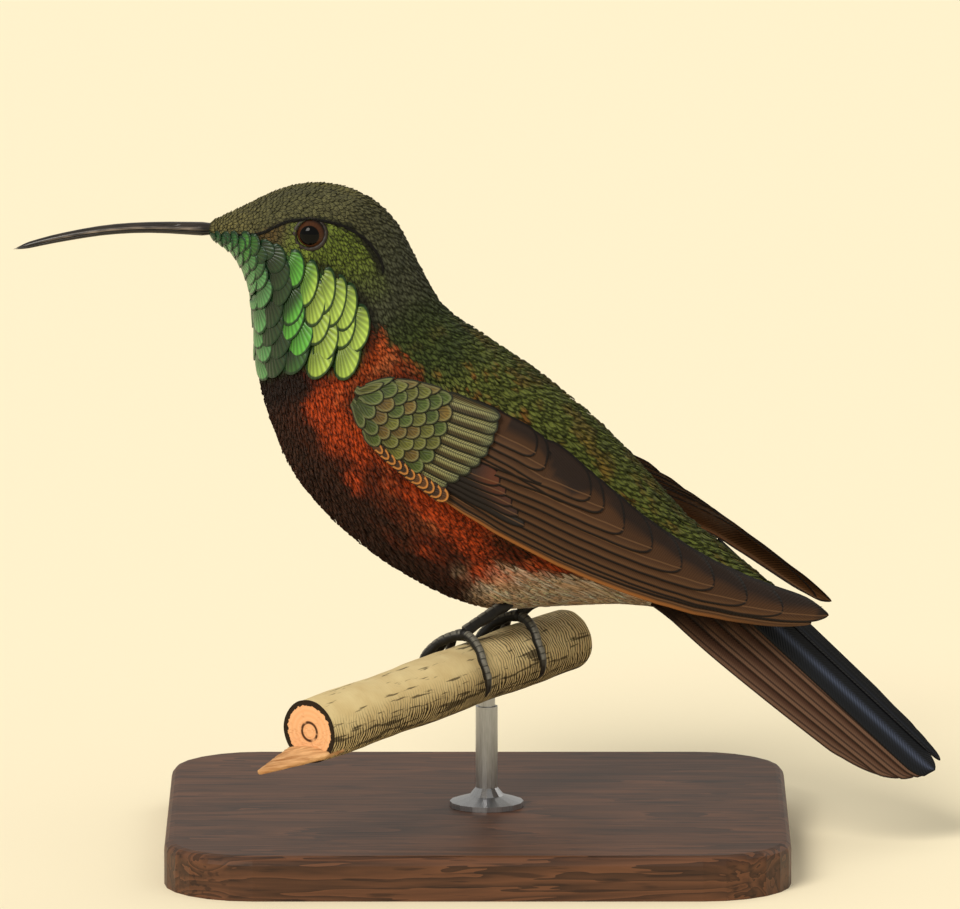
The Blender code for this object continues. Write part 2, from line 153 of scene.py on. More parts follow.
cameraPlan = {
    "distance": 2000.0,
    "elevation": 10.0,          # degrees
    "widthOverLength": 1.0289,  # the frame's width over the object's length
    "aimHeight": 0.5916,        # of the object's height
}


def makeCamera():
    low, high = (Vector(corner) for corner in cadBox)
    aim = Vector(((low.x + high.x) / 2, 0, low.z + (high.z - low.z) * cameraPlan["aimHeight"]))
    tilt = math.radians(cameraPlan["elevation"])
    reach = cameraPlan["distance"] * mm
    data = bpy.data.cameras.new("museum_camera")
    data.sensor_width = 36
    data.lens = data.sensor_width * reach / ((high.x - low.x) * cameraPlan["widthOverLength"])
    data.clip_start = 0.2
    data.clip_end = 20
    camera = bpy.data.objects.new("museum_camera", data)
    camera.location = aim + Vector((0, -math.cos(tilt), math.sin(tilt))) * reach
    camera.rotation_euler = (math.pi / 2 - tilt, 0, 0)
    bpy.context.scene.collection.objects.link(camera)
    bpy.context.scene.camera = camera
    print("camera set")


makeCamera()


# The body's outer form, measured from the flesh solids as rings along a spine

bodyPlan = {
    "ringStep": 0.7,
    "spokes": 112,
    "backTwist": 32.0,      # degrees that the back turns to the left by the tail
    "twistStart": 0.35,     # of the spine
    "tangentReach": 5,      # rings looked at either way for a ring's direction
    "start": (0.45, -0.55),  # along X and Z from the bill's root to the spine's first stop
    "tailCap": 0.25,        # depth of the rump's end that gives the last stop
    "castFrom": 30.0,
    "eyeMargin": 0.45,      # round an eyeball, where the skin is bridged
}
fleshNodes = ("head", "neck", "breast", "belly", "rump")


def eyeBall(side):  # centre and radius of the CAD eye
    low, high = (np.array(corner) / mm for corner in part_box("eye_" + side))
    return (low + high) / 2, (high[2] - low[2]) / 2


def spineLine():
    upper, lower = (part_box(name)[1] / mm for name in ("bill_upper", "bill_lower"))
    onward, lift = bodyPlan["start"]
    root = np.array([upper.x + onward, 0.0, (upper.z + lower.z) / 2 + lift])
    rumpShape = nodeShape("rump")
    rump = np.array([v.co for v in rumpShape.verts])
    rumpShape.free()
    heading = unit(middleOf("rump") - middleOf("belly"))
    reach = rump @ heading
    tailEnd = rump[reach > reach.max() - bodyPlan["tailCap"]].mean(axis=0)
    stops = [root] + [middleOf(name) for name in fleshNodes] + [tailEnd]
    return evenly(stops, bodyPlan["ringStep"])


def measureBody():
    centres, run = spineLine()
    count, spokes = len(centres), bodyPlan["spokes"]
    reach = bodyPlan["tangentReach"]
    padded = np.concatenate([
        centres[0] - (centres[1:reach + 1] - centres[0])[::-1],
        centres,
        centres[-1] + (centres[-1] - centres[-reach - 1:-1])[::-1],
    ])
    heading = unit(padded[2 * reach:] - padded[:-2 * reach])
    upright = unit(np.stack([-heading[:, 2], 0 * heading[:, 0], heading[:, 0]], axis=1))
    sideways = np.tile([0.0, 1.0, 0.0], (count, 1))
    share = np.clip((run / run[-1] - bodyPlan["twistStart"]) / (1 - bodyPlan["twistStart"]), 0, 1)
    twist = np.radians(bodyPlan["backTwist"]) * share
    up = upright * np.cos(twist)[:, None] - sideways * np.sin(twist)[:, None]
    side = sideways * np.cos(twist)[:, None] + upright * np.sin(twist)[:, None]
    angles = 2 * np.pi * np.arange(spokes) / spokes
    spoke = (up[:, None] * np.cos(angles)[None, :, None]
             + side[:, None] * np.sin(angles)[None, :, None])

    flesh = nodeShape(*fleshNodes)
    tree = BVHTree.FromBMesh(flesh)
    flesh.free()
    eyes = [eyeBall(name) for name in ("left", "right")]
    far, margin = bodyPlan["castFrom"], bodyPlan["eyeMargin"]
    radius = np.full((count, spokes), np.nan)
    for i in range(count):
        for j in range(spokes):
            start = Vector(centres[i] + spoke[i, j] * far)
            hit, _, _, distance = tree.ray_cast(start, Vector(-spoke[i, j]), far)
            if hit is None:
                continue
            if any(np.linalg.norm(np.array(hit) - middle) < ball + margin for middle, ball in eyes):
                continue
            radius[i, j] = far - distance
    for j in range(spokes):  # bridge the eye sockets
        known = ~np.isnan(radius[:, j])
        radius[:, j] = np.interp(np.arange(count), np.flatnonzero(known), radius[known, j])
    tall = np.stack([np.roll(radius, k, axis=0) for k in (-2, -1, 0, 1, 2)])
    radius[2:-2] = np.median(tall, axis=0)[2:-2]   # closes the thin gaps between the solids
    for _ in range(3):
        soften(radius)
        radius = (np.roll(radius, 1, axis=1) + 2 * radius + np.roll(radius, -1, axis=1)) / 4
    outer = centres[:, None] + spoke * radius[..., None]
    downLine = np.gradient(outer, axis=0)
    aroundLine = (np.roll(outer, -1, axis=1) - np.roll(outer, 1, axis=1)) / 2
    normal = unit(np.cross(aroundLine, downLine))
    normal = np.where((normal * spoke).sum(axis=-1, keepdims=True) < 0, -normal, normal)
    for _ in range(2):
        normal[1:-1] = unit(normal[:-2] + 2 * normal[1:-1] + normal[2:])
    return {
        "centres": centres, "run": run, "outer": outer, "normal": normal,
        "downPace": np.linalg.norm(downLine, axis=-1),
        "aroundPace": np.linalg.norm(aroundLine, axis=-1),
        "length": run[-1],
    }


body = measureBody()
print("body measured:", body["outer"].shape, round(body["length"], 1), "mm")


def readGrid(grid, ring, spoke):  # bilinear, closed round the second way
    rings, spokes = grid.shape[:2]
    ring = np.clip(ring, 0, rings - 1.001)
    i = np.floor(ring).astype(int)
    j = np.floor(spoke).astype(int)
    u, v = ring - i, spoke - j
    if grid.ndim > 2:
        u, v = u[..., None], v[..., None]
    j, k = j % spokes, (j + 1) % spokes
    return ((grid[i, j] * (1 - v) + grid[i, k] * v) * (1 - u)
            + (grid[i + 1, j] * (1 - v) + grid[i + 1, k] * v) * u)


# Pieces

def newPiece(name, shape, material, replaced=(), smooth=True):
    # shape is a bmesh in millimetres
    bmesh.ops.recalc_face_normals(shape, faces=shape.faces)
    bmesh.ops.scale(shape, vec=(mm, mm, mm), verts=shape.verts)
    mesh = bpy.data.meshes.new(name)
    shape.to_mesh(mesh)
    shape.free()
    return finishPiece(name, mesh, material, replaced, smooth)


def finishPiece(name, mesh, material, replaced=(), smooth=True):
    if smooth:
        mesh.shade_smooth()
    mesh.materials.append(material)
    piece = bpy.data.objects.new(name, mesh)
    bpy.context.scene.collection.objects.link(piece)
    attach(piece, "root")
    if replaced:
        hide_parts(*replaced)
    return piece


def addUv(mesh, name, perPoint):  # values per point, handed to the face corners
    index = np.empty(len(mesh.loops), np.int32)
    mesh.loops.foreach_get("vertex_index", index)
    layer = mesh.uv_layers.new(name=name)
    layer.uv.foreach_set("vector", perPoint[index].astype(np.float32).ravel())


def addValues(mesh, name, perPoint):
    layer = mesh.attributes.new(name, "FLOAT", "POINT")
    layer.data.foreach_set("value", np.asarray(perPoint, np.float32).ravel())


def addColours(mesh, perPoint):
    layer = mesh.color_attributes.new("plumage", "FLOAT_COLOR", "POINT")
    rgba = np.concatenate([np.clip(perPoint, 0, 1), np.ones((len(perPoint), 1))], axis=1)
    layer.data.foreach_set("color", rgba.astype(np.float32).ravel())


# Node materials

def addNode(tree, kind, settings=(), output=0):  # one node with its settings, values and links
    kind, _, choice = kind.partition(" ")   # a maths node's operation, or what a mix node mixes
    node = tree.nodes.new("ShaderNode" + kind)
    if choice:
        setattr(node, "data_type" if kind == "Mix" else "operation", choice)
    for key, value in dict(settings).items():
        if isinstance(key, str) and key[0].islower():
            setattr(node, key, value)
        elif isinstance(value, bpy.types.NodeSocket):
            tree.links.new(value, node.inputs[key])
        else:
            socket = node.inputs[key]
            isColour = socket.type == "RGBA" and len(value) == 3
            socket.default_value = (*value, 1) if isColour else value
    return node.outputs[output]


def newMaterial(name, settings):  # a material, and addNode for its own tree
    material = bpy.data.materials.new(name)
    material.use_nodes = True
    for key, value in settings.items():
        material.node_tree.nodes["Principled BSDF"].inputs[key].default_value = value
    return material, partial(addNode, material.node_tree)


def linked(material, sockets):  # the material, with these sockets led to its shader
    tree = material.node_tree
    for key, socket in sockets.items():
        tree.links.new(socket, tree.nodes["Principled BSDF"].inputs[key])
    return material


# Fine grain between two colours: a look gives its size and relief in millimetres and its stretch

def grainMaterial(name, look):
    material, add = newMaterial(name, look["shader"])
    place = add("TexCoord", {}, "Object")
    place = add("Mapping", {"Vector": place, "Rotation": (0, 0, look.get("turn", 0)),
                            "Scale": look.get("stretch", (1, 1, 1))})
    grain = add("TexNoise", {"Vector": place, "Scale": 1 / (look["size"] * mm), "Detail": 4.0})
    share = add("MapRange", {"Value": grain, "From Min": 0.32, "From Max": 0.68})
    colour = add("Mix RGBA", {0: share, 6: srgb(look["dark"]), 7: srgb(look["pale"])}, 2)
    if "tint" in look:   # an attribute that lightens or darkens parts of the piece
        tint = add("Attribute", {"attribute_name": look["tint"]})
        colour = add("Mix RGBA", {"blend_type": "MULTIPLY", 0: 1.0, 6: colour, 7: tint}, 2)
    bump = add("Bump", {"Height": grain, "Strength": look.get("bump", 0.4),
                        "Distance": look.get("relief", 0.04) * mm})
    return linked(material, {"Base Color": colour, "Normal": bump})


# Feathers are keratin barbs on a shaft: dull and soft on the body, glossier where a vane is smooth.
# Each vane brings its colour, its barbs, and its distances from edge and shaft. Real barbs lie
# about 0.03 mm apart, too fine to show, so they are drawn some 0.4 mm apart: 3 on a small feather
# of the crown, 120 on a long one of the wing.

def featherMaterial(name, look):
    material, add = newMaterial(name, {
        "Roughness": look["roughness"],
        "Specular IOR Level": look["specular"],
        "Sheen Weight": look.get("sheen", 0.0),
        "Sheen Roughness": 0.4,
        "Metallic": look.get("metallic", 0.0),
    })
    colour = add("Attribute", {"attribute_name": "plumage"})
    barb = add("Attribute", {"attribute_name": "barb"}, "Fac")
    wave = add("Math SINE", {0: barb})
    shade = add("MapRange", {"Value": wave, "From Min": -1.0, "To Min": 1.0,
                             "To Max": 1 - look["barbShade"]})
    colour = add("Mix RGBA", {"blend_type": "MULTIPLY", 0: 1.0, 6: colour, 7: shade}, 2)
    for attribute, key in (("edge", "innerRim"), ("edge", "rim"), ("shaft", "shaft")):
        if key not in look:
            continue
        tint, width, strength = look[key]
        gap = add("Attribute", {"attribute_name": attribute}, "Fac")
        share = add("MapRange", {"Value": gap, "From Min": width, "From Max": width * 0.6,
                                 "To Max": strength})
        colour = add("Mix RGBA", {0: share, 6: colour, 7: srgb(tint)}, 2)
    bump = add("Bump", {"Height": wave, "Strength": look["bump"], "Distance": 0.06 * mm})
    return linked(material, {"Base Color": colour, "Normal": bump})


def barbPhase(look, across, place, side, run):  # a wave of this draws the barbs
    if "fan" in look:   # barbs spread from the root, so many to a radian
        return 2 * np.pi * look["fan"] * np.arctan2(side, run + 1.0)
    return 2 * np.pi * look["barbs"] * (place - look["slant"] * np.abs(across))


# Vanes: one small closed shape, laid many times on a surface

def edgeGap(down, over, borderDown, borderOver):  # distance from each point to the vane's outline
    gap = np.hypot(down[:, None] - borderDown[None], over[:, None] - borderOver[None])
    return gap.min(axis=1)


def vaneTemplate(columns, rows, towardTip=1.0):  # a thin closed strip, laid flat, and its faces
    strip = bmesh.new()
    bmesh.ops.create_grid(strip, x_segments=columns, y_segments=rows, size=0.5)
    bmesh.ops.solidify(strip, geom=strip.faces, thickness=0.1)
    bmesh.ops.recalc_face_normals(strip, faces=strip.faces)
    strip.verts.index_update()
    flat = np.array([v.co for v in strip.verts])
    faces = [[v.index for v in face.verts] for face in strip.faces]
    strip.free()
    layer = np.where(flat[:, 2] > flat[:, 2].mean(), 1.0, 0.0)
    place = 1 - (0.5 - flat[:, 1]) ** towardTip
    return {"across": flat[:, 0] * 2, "place": place, "layer": layer, "faces": faces}


def joinedMesh(name, points, template):  # points: copies x template points x 3, in millimetres
    mesh = bpy.data.meshes.new(name)
    copies, size = points.shape[:2]
    lengths = np.tile(np.array([len(face) for face in template["faces"]], np.int32), copies)
    corners = np.concatenate([np.array(face, np.int32) for face in template["faces"]])
    corners = (corners[None] + np.arange(copies, dtype=np.int32)[:, None] * size).ravel()
    mesh.vertices.add(copies * size)
    mesh.vertices.foreach_set("co", (points * mm).astype(np.float32).ravel())
    mesh.loops.add(len(corners))
    mesh.loops.foreach_set("vertex_index", corners)
    mesh.polygons.add(len(lengths))
    starts = np.concatenate([[0], np.cumsum(lengths)[:-1]]).astype(np.int32)
    mesh.polygons.foreach_set("loop_start", starts)
    mesh.update(calc_edges=True)
    mesh.validate()
    return mesh


# Lengths over the surface down each spoke, so that feathers keep their size where the spine bends

surfaceRun = np.concatenate([
    np.zeros((1, bodyPlan["spokes"])),
    np.cumsum(np.linalg.norm(np.diff(body["outer"], axis=0), axis=-1), axis=0),
])


def ringAt(runLength, spoke):  # the ring at a length over the surface down one spoke
    ring = runLength / bodyPlan["ringStep"]
    for _ in range(12):
        ring = np.clip(ring, 0, len(surfaceRun) - 1.01)
        pace = np.maximum(readGrid(body["downPace"], ring, spoke), 0.25)
        ring = ring + 0.9 * (runLength - readGrid(surfaceRun, ring, spoke)) / pace
    return np.clip(ring, 0, len(surfaceRun) - 1.001)


# Plumage: one set of markings for the skin and every small feather. Places are millimetres down
# the spine from the bill and degrees round from the middle of the back, alike on both sides.

plumage = {
    "crown": "5E5C3A",
    "forehead": "767044",
    "crownPaintedHighlight": "7E763C",
    "eyeLine": "15100A",
    "lores": "5C4A26",
    "cheek": "70802F",
    "nape": "545740",
    "mantle": "4E5C2A",
    "back": "747E36",
    "backPale": "B8C068",
    "backSpot": "94581E",
    "shoulder": "DA6026",
    "breast": "D6521E",
    "breastPale": "EE8850",
    "breastDark": "582610",
    "front": "402616",
    "vent": "FFD2A4",
    "ventPale": "FFECD2",
    "underGorget": "33602C",
}
markings = {
    "gorgetTop": [(1.4, 104), (4.9, 93), (7.0, 92), (10.5, 97), (13.3, 94), (15.4, 86), (17.5, 77),
                  (19.6, 71), (21.7, 67), (24.5, 69), (26.6, 75), (28.6, 84), (30, 91)],
    "gorgetEnd": [(60, 24.0), (68, 25.2), (77, 27.6), (84, 29.2), (90, 30.0), (100, 30.0),
                  (109, 28.9), (122, 26.9), (138, 25.8), (158, 25.6), (180, 25.6)],
    "eyeLine": [(4.5, 92), (7.0, 82), (9.8, 62), (11.2, 54), (12.6, 46), (14.4, 38), (16.1, 35.5),
                (18.3, 36), (20.6, 40)],
    "redTop": [(20, 100), (23, 76), (25.9, 67), (30, 63), (34, 60), (45, 62), (60, 70), (75, 80)],
    "redLow": [(20, 118), (27.9, 134), (34, 138), (40.5, 138), (49.6, 141), (54.5, 136), (62.9, 125),
               (75, 110)],
    "ventStart": [(0, 73), (80, 68), (112, 62.5), (135, 59.5), (160, 60.5), (180, 61.5)],
    "ventTop": [(56, 124), (61, 110), (77, 84), (90, 86), (99, 150)],
}


def fromTable(table, value):
    table = np.array(table, float)
    return np.interp(value, table[:, 0], table[:, 1])


def latticeNoise(field, u, v):  # smooth value noise, closed round both ways
    rows, columns = field.shape
    i, j = np.floor(u).astype(int), np.floor(v).astype(int)
    fu, fv = ramp(0, 1, u - i), ramp(0, 1, v - j)
    a, b = field[i % rows, j % columns], field[i % rows, (j + 1) % columns]
    c, d = field[(i + 1) % rows, j % columns], field[(i + 1) % rows, (j + 1) % columns]
    return (a * (1 - fv) + b * fv) * (1 - fu) + (c * (1 - fv) + d * fv) * fu


def makeNoise(cell, seed):  # over the body, with cells of about so many millimetres
    girth, reach = 110, 160
    around = max(4, int(round(girth / cell)))
    field = np.random.default_rng(seed).random((int(reach / cell) + 3, around))

    def read(distance, degrees):
        u = np.clip(distance + 5, 0, 150) / cell
        return latticeNoise(field, u, (degrees % 360) / 360 * around)

    return read


blotch = makeNoise(5.5, 3)
patchy = makeNoise(2.6, 5)
speckle = makeNoise(1.1, 7)


def blend(colours, share, name, palette=plumage):
    return colours + (np.array(srgb(palette[name])) - colours) * np.clip(share, 0, 1)[:, None]


def blendAll(colours, steps, palette=plumage):  # one over another, the last on top
    for share, name in steps:
        colours = blend(colours, share, name, palette)
    return colours


def gorgetShare(distance, degrees):  # 1 well inside the gorget, 0 outside
    turn = np.abs(degrees)
    above = ramp(-4, 4, turn - fromTable(markings["gorgetTop"], distance))
    ahead = ramp(-0.5, 0.5, fromTable(markings["gorgetEnd"], turn) - distance)
    return above * ahead * ramp(0.4, 1.4, distance)


def upperColour(distance, turn, small, fine):  # crown, nape and back, with rusty spots
    lower = ramp(24, 55, turn) * ramp(34, 48, distance)
    spots = ramp(0.52, 0.68, small * 0.6 + fine * 0.4) * ramp(30, 36, distance)
    return blendAll(np.tile(srgb(plumage["forehead"]), (len(distance), 1)), (
        (ramp(3, 9, distance), "crown"),
        # painted highlight: a paler, yellower band along the top of the head, where the light falls
        (ramp(16, 5, turn) * 0.55, "crownPaintedHighlight"),
        (ramp(13, 20, distance), "nape"),
        (ramp(24, 31, distance), "mantle"),
        (ramp(30, 42, distance + 8 * (small - 0.5)), "back"),
        (lower * ramp(0.35, 0.75, small) * 0.75, "backPale"),
        (spots * (0.35 + 0.55 * ramp(12, 34, turn)), "backSpot"),
    ))


def faceColour(colours, distance, turn):  # cheek, lores and the dark line over the eye
    line = fromTable(markings["eyeLine"], distance)
    face = ramp(-3, 4, turn - line) * ramp(24.5, 19, distance)
    onLine = ramp(3.2, 1.2, np.abs(turn - line - 0.6)) * ramp(21.5, 19, distance)
    return blendAll(colours, (
        (face * ramp(9, 12.5, distance), "cheek"),
        (face * ramp(11, 8.5, distance) * ramp(2, 5, distance), "lores"),
        (face * ramp(17, 22, distance) * 0.75, "nape"),
        (onLine * ramp(6.0, 11.0, distance) * 0.9, "eyeLine"),
    ))


def underColour(colours, distance, turn, big, small, fine):  # red flanks, blackish front, buff vent
    redTop, redLow, ventTop = (fromTable(markings[key], distance)
                               for key in ("redTop", "redLow", "ventTop"))
    ahead = ramp(92, 84, distance)   # the tip of the rump is green all round
    under = ramp(-5, 5, turn - redTop + 10 * (fine - 0.5)) * ramp(19, 25, distance) * ahead
    bright = ramp(36, 26, distance) * ramp(112, 84, turn)
    light = ramp(0.55, 0.82, big * 0.55 + fine * 0.45)
    dusk = ramp(0.40, 0.62, big * 0.65 + small * 0.35) * ramp(26, 34, distance)
    # painted shade: the flank darkens just under the wing's leading edge
    underWingShade = ramp(24, 2, turn - redTop) * ramp(31, 40, distance)
    # the blackish front: the belly's own dark middle, and partly painted shade along the underside
    front = ramp(-9, 9, turn - redLow + 22 * (small - 0.5)) * ramp(22, 24, distance) * ahead
    vent = ramp(-2.5, 3.5, distance - fromTable(markings["ventStart"], turn) + 4 * (small - 0.5))
    vent = vent * ramp(-4, 6, turn - ventTop)
    return blendAll(colours, (
        (under, "breast"),
        (under * bright, "shoulder"),
        (under * light * 0.8, "breastPale"),
        (under * dusk * 0.85 * (1 - bright), "breastDark"),
        (under * underWingShade * 0.85, "breastDark"),
        (front * 0.95, "front"),
        (vent, "vent"),
        (vent * ramp(0.4, 0.75, fine), "ventPale"),
    ))


def plumageColour(distance, degrees):
    turn = np.abs(degrees)
    big, small, fine = (noise(distance, degrees) for noise in (blotch, patchy, speckle))
    colours = upperColour(distance, turn, small, fine)
    colours = faceColour(colours, distance, turn)
    colours = underColour(colours, distance, turn, big, small, fine)
    # painted shadow along the gorget's upper rim, and its own green under its scales
    gorgetShadow = ramp(-15, -7, turn - fromTable(markings["gorgetTop"], distance))
    gorgetShadow = gorgetShadow * ramp(12.5, 16.5, distance) * ramp(31, 28, distance)
    return blendAll(colours, (
        (gorgetShadow * 0.85, "eyeLine"),
        (gorgetShare(distance, degrees) * 0.92, "underGorget"),
    ))


# The coat grows deeper from the face to the rump

coatPlan = {
    "depth": [(0, 0.5), (3, 0.32), (8, 0.34), (20, 0.45), (40, 0.7), (70, 0.85), (99, 0.8)],
    "rowStep": [(0, 0.36), (4, 0.44), (12, 0.54), (20, 0.62), (32, 0.72), (50, 0.84), (75, 0.95),
                (99, 1.2)],
    "acrossStep": [(0, 0.36), (4, 0.42), (12, 0.46), (20, 0.5), (32, 0.56), (50, 0.64), (75, 0.74),
                   (99, 0.9)],
    "lengthOverStep": 3.0,
    "halfWidthOverStep": 0.75,
    "thickness": 0.06,
    "eyeOpening": 2.15,     # millimetres from the eye's middle kept clear
    "scatter": 0.1,         # how far a root strays, in steps
    "turnJitter": 5.0,      # degrees
    "vary": 0.08,           # spread of a feather's size
    "lift": 0.0,
    "sink": 0.85,           # of the coat's depth, at a feather's root
    "arch": 0.10,
    # share of a feather's length over which the painted shade at its root fades out
    "shadeSpan": (0.15, 0.6),
    "trianglesEach": 190000,
}


def coatDepth(distance):
    return fromTable(coatPlan["depth"], distance)


def ringOf(distance):
    return distance / bodyPlan["ringStep"]


def spokeOf(degrees):
    return degrees / 360 * bodyPlan["spokes"]


def bodyPoint(distance, degrees, height):  # a place on the coat's outer form, raised by height
    ring, spoke = ringOf(distance), spokeOf(degrees)
    normal = unit(readGrid(body["normal"], ring, spoke))
    return readGrid(body["outer"], ring, spoke) + normal * np.asarray(height)[..., None]


def bakePatch(distance, degrees, across, place, span):  # each feather's patch of the skin's unwrap
    low, high = span
    half = 0.0015
    v = np.clip((distance - low) / (high - low), 0.002, 0.998) + half * (2 * place - 1)
    return np.stack([(degrees % 360) / 360 + half * across, v], axis=-1)


def buildSkin():
    rings, spokes = body["outer"].shape[:2]
    distance = np.repeat(body["run"][:, None], spokes, axis=1)
    degrees = np.tile(360 * np.arange(spokes) / spokes, (rings, 1))
    degrees = np.where(degrees > 180, degrees - 360, degrees)
    points = body["outer"] - body["normal"] * coatDepth(distance)[..., None]
    colours = plumageColour(distance.ravel(), degrees.ravel()).reshape(rings, spokes, 3) * 0.8
    shape = bmesh.new()
    shape.verts.layers.float_color.new("plumage")
    loft(shape, points, colours, "plumage")
    skinTree = BVHTree.FromBMesh(shape)
    piece = newPiece("skin", shape, skinMaterial(), fleshNodes)
    print("skin:", len(piece.data.polygons), "faces")
    return skinTree


def skinMaterial():  # down and feather bases on skin: dull, slightly rough, never bare
    material, add = newMaterial("down_over_skin", {"Roughness": 0.85, "Specular IOR Level": 0.2})
    pigment = add("Attribute", {"attribute_name": "plumage"})
    place = add("TexCoord", {}, "Object")
    down = add("TexNoise", {"Vector": place, "Scale": 1 / (0.6 * mm), "Detail": 4.0})
    shade = add("MapRange", {"Value": down, "To Min": 0.55, "To Max": 1.1})
    colour = add("Mix RGBA", {"blend_type": "MULTIPLY", 0: 1.0, 6: pigment, 7: shade}, 2)
    bump = add("Bump", {"Height": down, "Strength": 0.4, "Distance": 0.1 * mm})
    return linked(material, {"Base Color": colour, "Normal": bump})


def profileOf(kind, place):  # half width of a vane over its length, 1 at its widest
    start, power, root = {"scale": (0.52, 2.4, 0.45), "broad": (0.5, 2.0, 0.62)}.get(kind, (0, 0, 0))
    if kind == "soft":   # tapered and ragged
        tip = 1 - np.clip((place - 0.4) / 0.6, 0, 1) ** 1.6 * 0.8
        return (0.5 + 0.5 * ramp(0, 0.4, place)) * tip
    tip = np.sqrt(np.clip(1 - (np.clip(place - start, 0, 1) / (1 - start)) ** power, 0, 1))
    if kind == "broad":   # rounded at the root too
        tip = tip * ramp(-0.05, 0.22, place)
    return np.maximum((root + (1 - root) * ramp(0, start, place)) * tip, 0.03)


def coatRoots(span, plan, wanted):  # where each feather of a coat grows, row by row
    distances, degrees, steps = [], [], []
    spokes = np.arange(bodyPlan["spokes"])
    at, row = 0.1, 0
    while at < surfaceRun[-1].max():
        ring = ringAt(np.full(len(spokes), at), spokes)
        middle = ring.mean() * bodyPlan["ringStep"]
        step = float(fromTable(plan["acrossStep"], middle))
        line = readGrid(body["outer"], ring, spokes)
        pieces = np.linalg.norm(np.roll(line, -1, axis=0) - line, axis=1)
        lap = np.concatenate([[0], np.cumsum(pieces)])
        count = max(6, int(round(lap[-1] / step)))
        stops = np.arange(count) + 0.5 * (row % 2) + chance.normal(0, plan["scatter"], count)
        spoke = np.interp((stops / count % 1) * lap[-1], lap, np.arange(len(spokes) + 1))
        degrees.append((spoke / len(spokes) * 360 + 180) % 360 - 180)
        run = np.maximum(at + chance.normal(0, plan["scatter"], count) * step, 0.05)
        distances.append(ringAt(run, spoke) * bodyPlan["ringStep"])
        steps.append(np.full(count, step))
        at += float(fromTable(plan["rowStep"], middle))
        row += 1
    distance, turn, step = (np.concatenate(part) for part in (distances, degrees, steps))
    keep = (distance >= span[0]) & (distance < span[1]) & wanted(distance, turn)
    keep &= distance < body["length"] - 0.8
    return distance[keep], turn[keep], step[keep]


def clearEyes(points, plan):  # part the feathers round the eyes, drop those rooted on them
    seen = np.ones(len(points), bool)
    for side, sign in (("left", -1), ("right", 1)):
        middle, ball = eyeBall(side)
        offset = (points - middle) * np.array([1, 0, 1])
        gap = np.linalg.norm(offset, axis=-1)
        near = (points[..., 1] * sign > 0) & (gap < plan["eyeOpening"])
        seen &= ~(near[:, :8].all(axis=1))
        push = np.where(near, plan["eyeOpening"] / np.maximum(gap, 0.05), 1.0)
        points = points + offset * (push - 1)[..., None]
    return points, seen


def layCoat(name, span, kind, lookName, wanted, plan=coatPlan, tone=plumageColour,
            shade=0.2):
    distance, turn, step = plan["roots"]() if "roots" in plan else coatRoots(span, plan, wanted)
    order = np.argsort(distance, kind="stable")
    distance, turn, step = distance[order], turn[order], step[order]
    template = templates[kind]
    across, place = template["across"][None], template["place"][None]
    count = len(distance)
    length = fromTable(plan["rowStep"], distance) * plan["lengthOverStep"]
    vary = plan["vary"]
    length = length * (1 + chance.normal(0, vary, count))
    half = step * plan["halfWidthOverStep"] * (1 + chance.normal(0, 0.75 * vary, count))
    swing = np.radians(chance.normal(0, plan["turnJitter"], count))[:, None]
    reach = length[:, None] * place
    if kind == "soft":    # ragged tip
        reach = reach * (1 - 0.14 * template["ragged"][None] * (place > 0.9))
    side = across * half[:, None] * profileOf(kind, place)
    down = reach * np.cos(swing) - side * np.sin(swing)
    over = reach * np.sin(swing) + side * np.cos(swing)
    ring, spoke = ringOf(distance), spokeOf(turn)
    aroundPace = readGrid(body["aroundPace"], ring, spoke)[:, None] * bodyPlan["spokes"] / 360
    t = turn[:, None] + np.clip(over / np.maximum(aroundPace, 0.02), -30, 30)
    run = readGrid(surfaceRun, ring, spoke)[:, None] + down
    s = ringAt(run, spokeOf(t)) * bodyPlan["ringStep"]
    bodyEnd = readGrid(surfaceRun, np.full(t.shape, len(surfaceRun) - 1.001), spokeOf(t))
    past = np.clip(run - bodyEnd, 0, None)
    depth = coatDepth(distance)[:, None]
    rise = plan["lift"] * ramp(0, 0.35, place) - depth * plan["sink"] * (1 - place) ** 0.9
    rise = rise - plan["arch"] * half[:, None] * across**2
    rise = rise + 0.6 * vary * chance.normal(0, 1, count)[:, None] * place
    rise = rise + plan["thickness"] * (template["layer"][None] - 1)
    points = bodyPoint(s, t, rise)
    points = points + tailward[None, None] * past[..., None]
    points, seen = clearEyes(points, plan)
    seen &= past.max(axis=1) < overhang
    tipTone = tone(distance + length * 0.8, turn) * (1 + chance.normal(0, shade, count))[:, None]
    rootTone = tone(distance + length * 0.45, turn)
    stops = np.linspace(0.1, 1, 200)
    ratio = float(np.median(length / half))
    outline = profileOf(kind, stops)
    gap = edgeGap(place[0] * ratio, (across * profileOf(kind, place))[0],
                  np.concatenate([stops, stops]) * ratio, np.concatenate([outline, -outline]))
    share = ramp(0.4, 0.9, place)[..., None]
    tones = rootTone[:, None] * (1 - share) + tipTone[:, None] * share
    # painted shade: each feather darkens toward its root, under the feathers that lie over it
    tones = tones * (0.45 + 0.55 * ramp(*plan["shadeSpan"], place))[..., None]
    barb = barbPhase(featherLooks[lookName], across, place, side, reach)
    edge = gap[None] * half[:, None]
    patch = bakePatch(distance[:, None], turn[:, None], across, place, (span[0] - 1, span[1] + 1))
    kept = np.flatnonzero(seen)
    triangles = len(kept) * sum(len(face) - 2 for face in template["faces"])
    parts = int(np.ceil(triangles / plan["trianglesEach"]))
    for number, chosen in enumerate(np.array_split(kept, parts)):
        mesh = joinedMesh(name, points[chosen], template)
        addColours(mesh, tones[chosen].reshape(-1, 3))
        addValues(mesh, "barb", np.broadcast_to(barb, tones.shape[:2])[chosen])
        addValues(mesh, "edge", edge[chosen])
        addValues(mesh, "shaft", np.abs(side[chosen]))
        addUv(mesh, "OFBake", patch[chosen].reshape(-1, 2))
        ending = "_%d" % (number + 1) if parts > 1 else ""
        finishPiece(name + ending, mesh, finishes[lookName])
    print(name + ":", len(kept), "feathers")


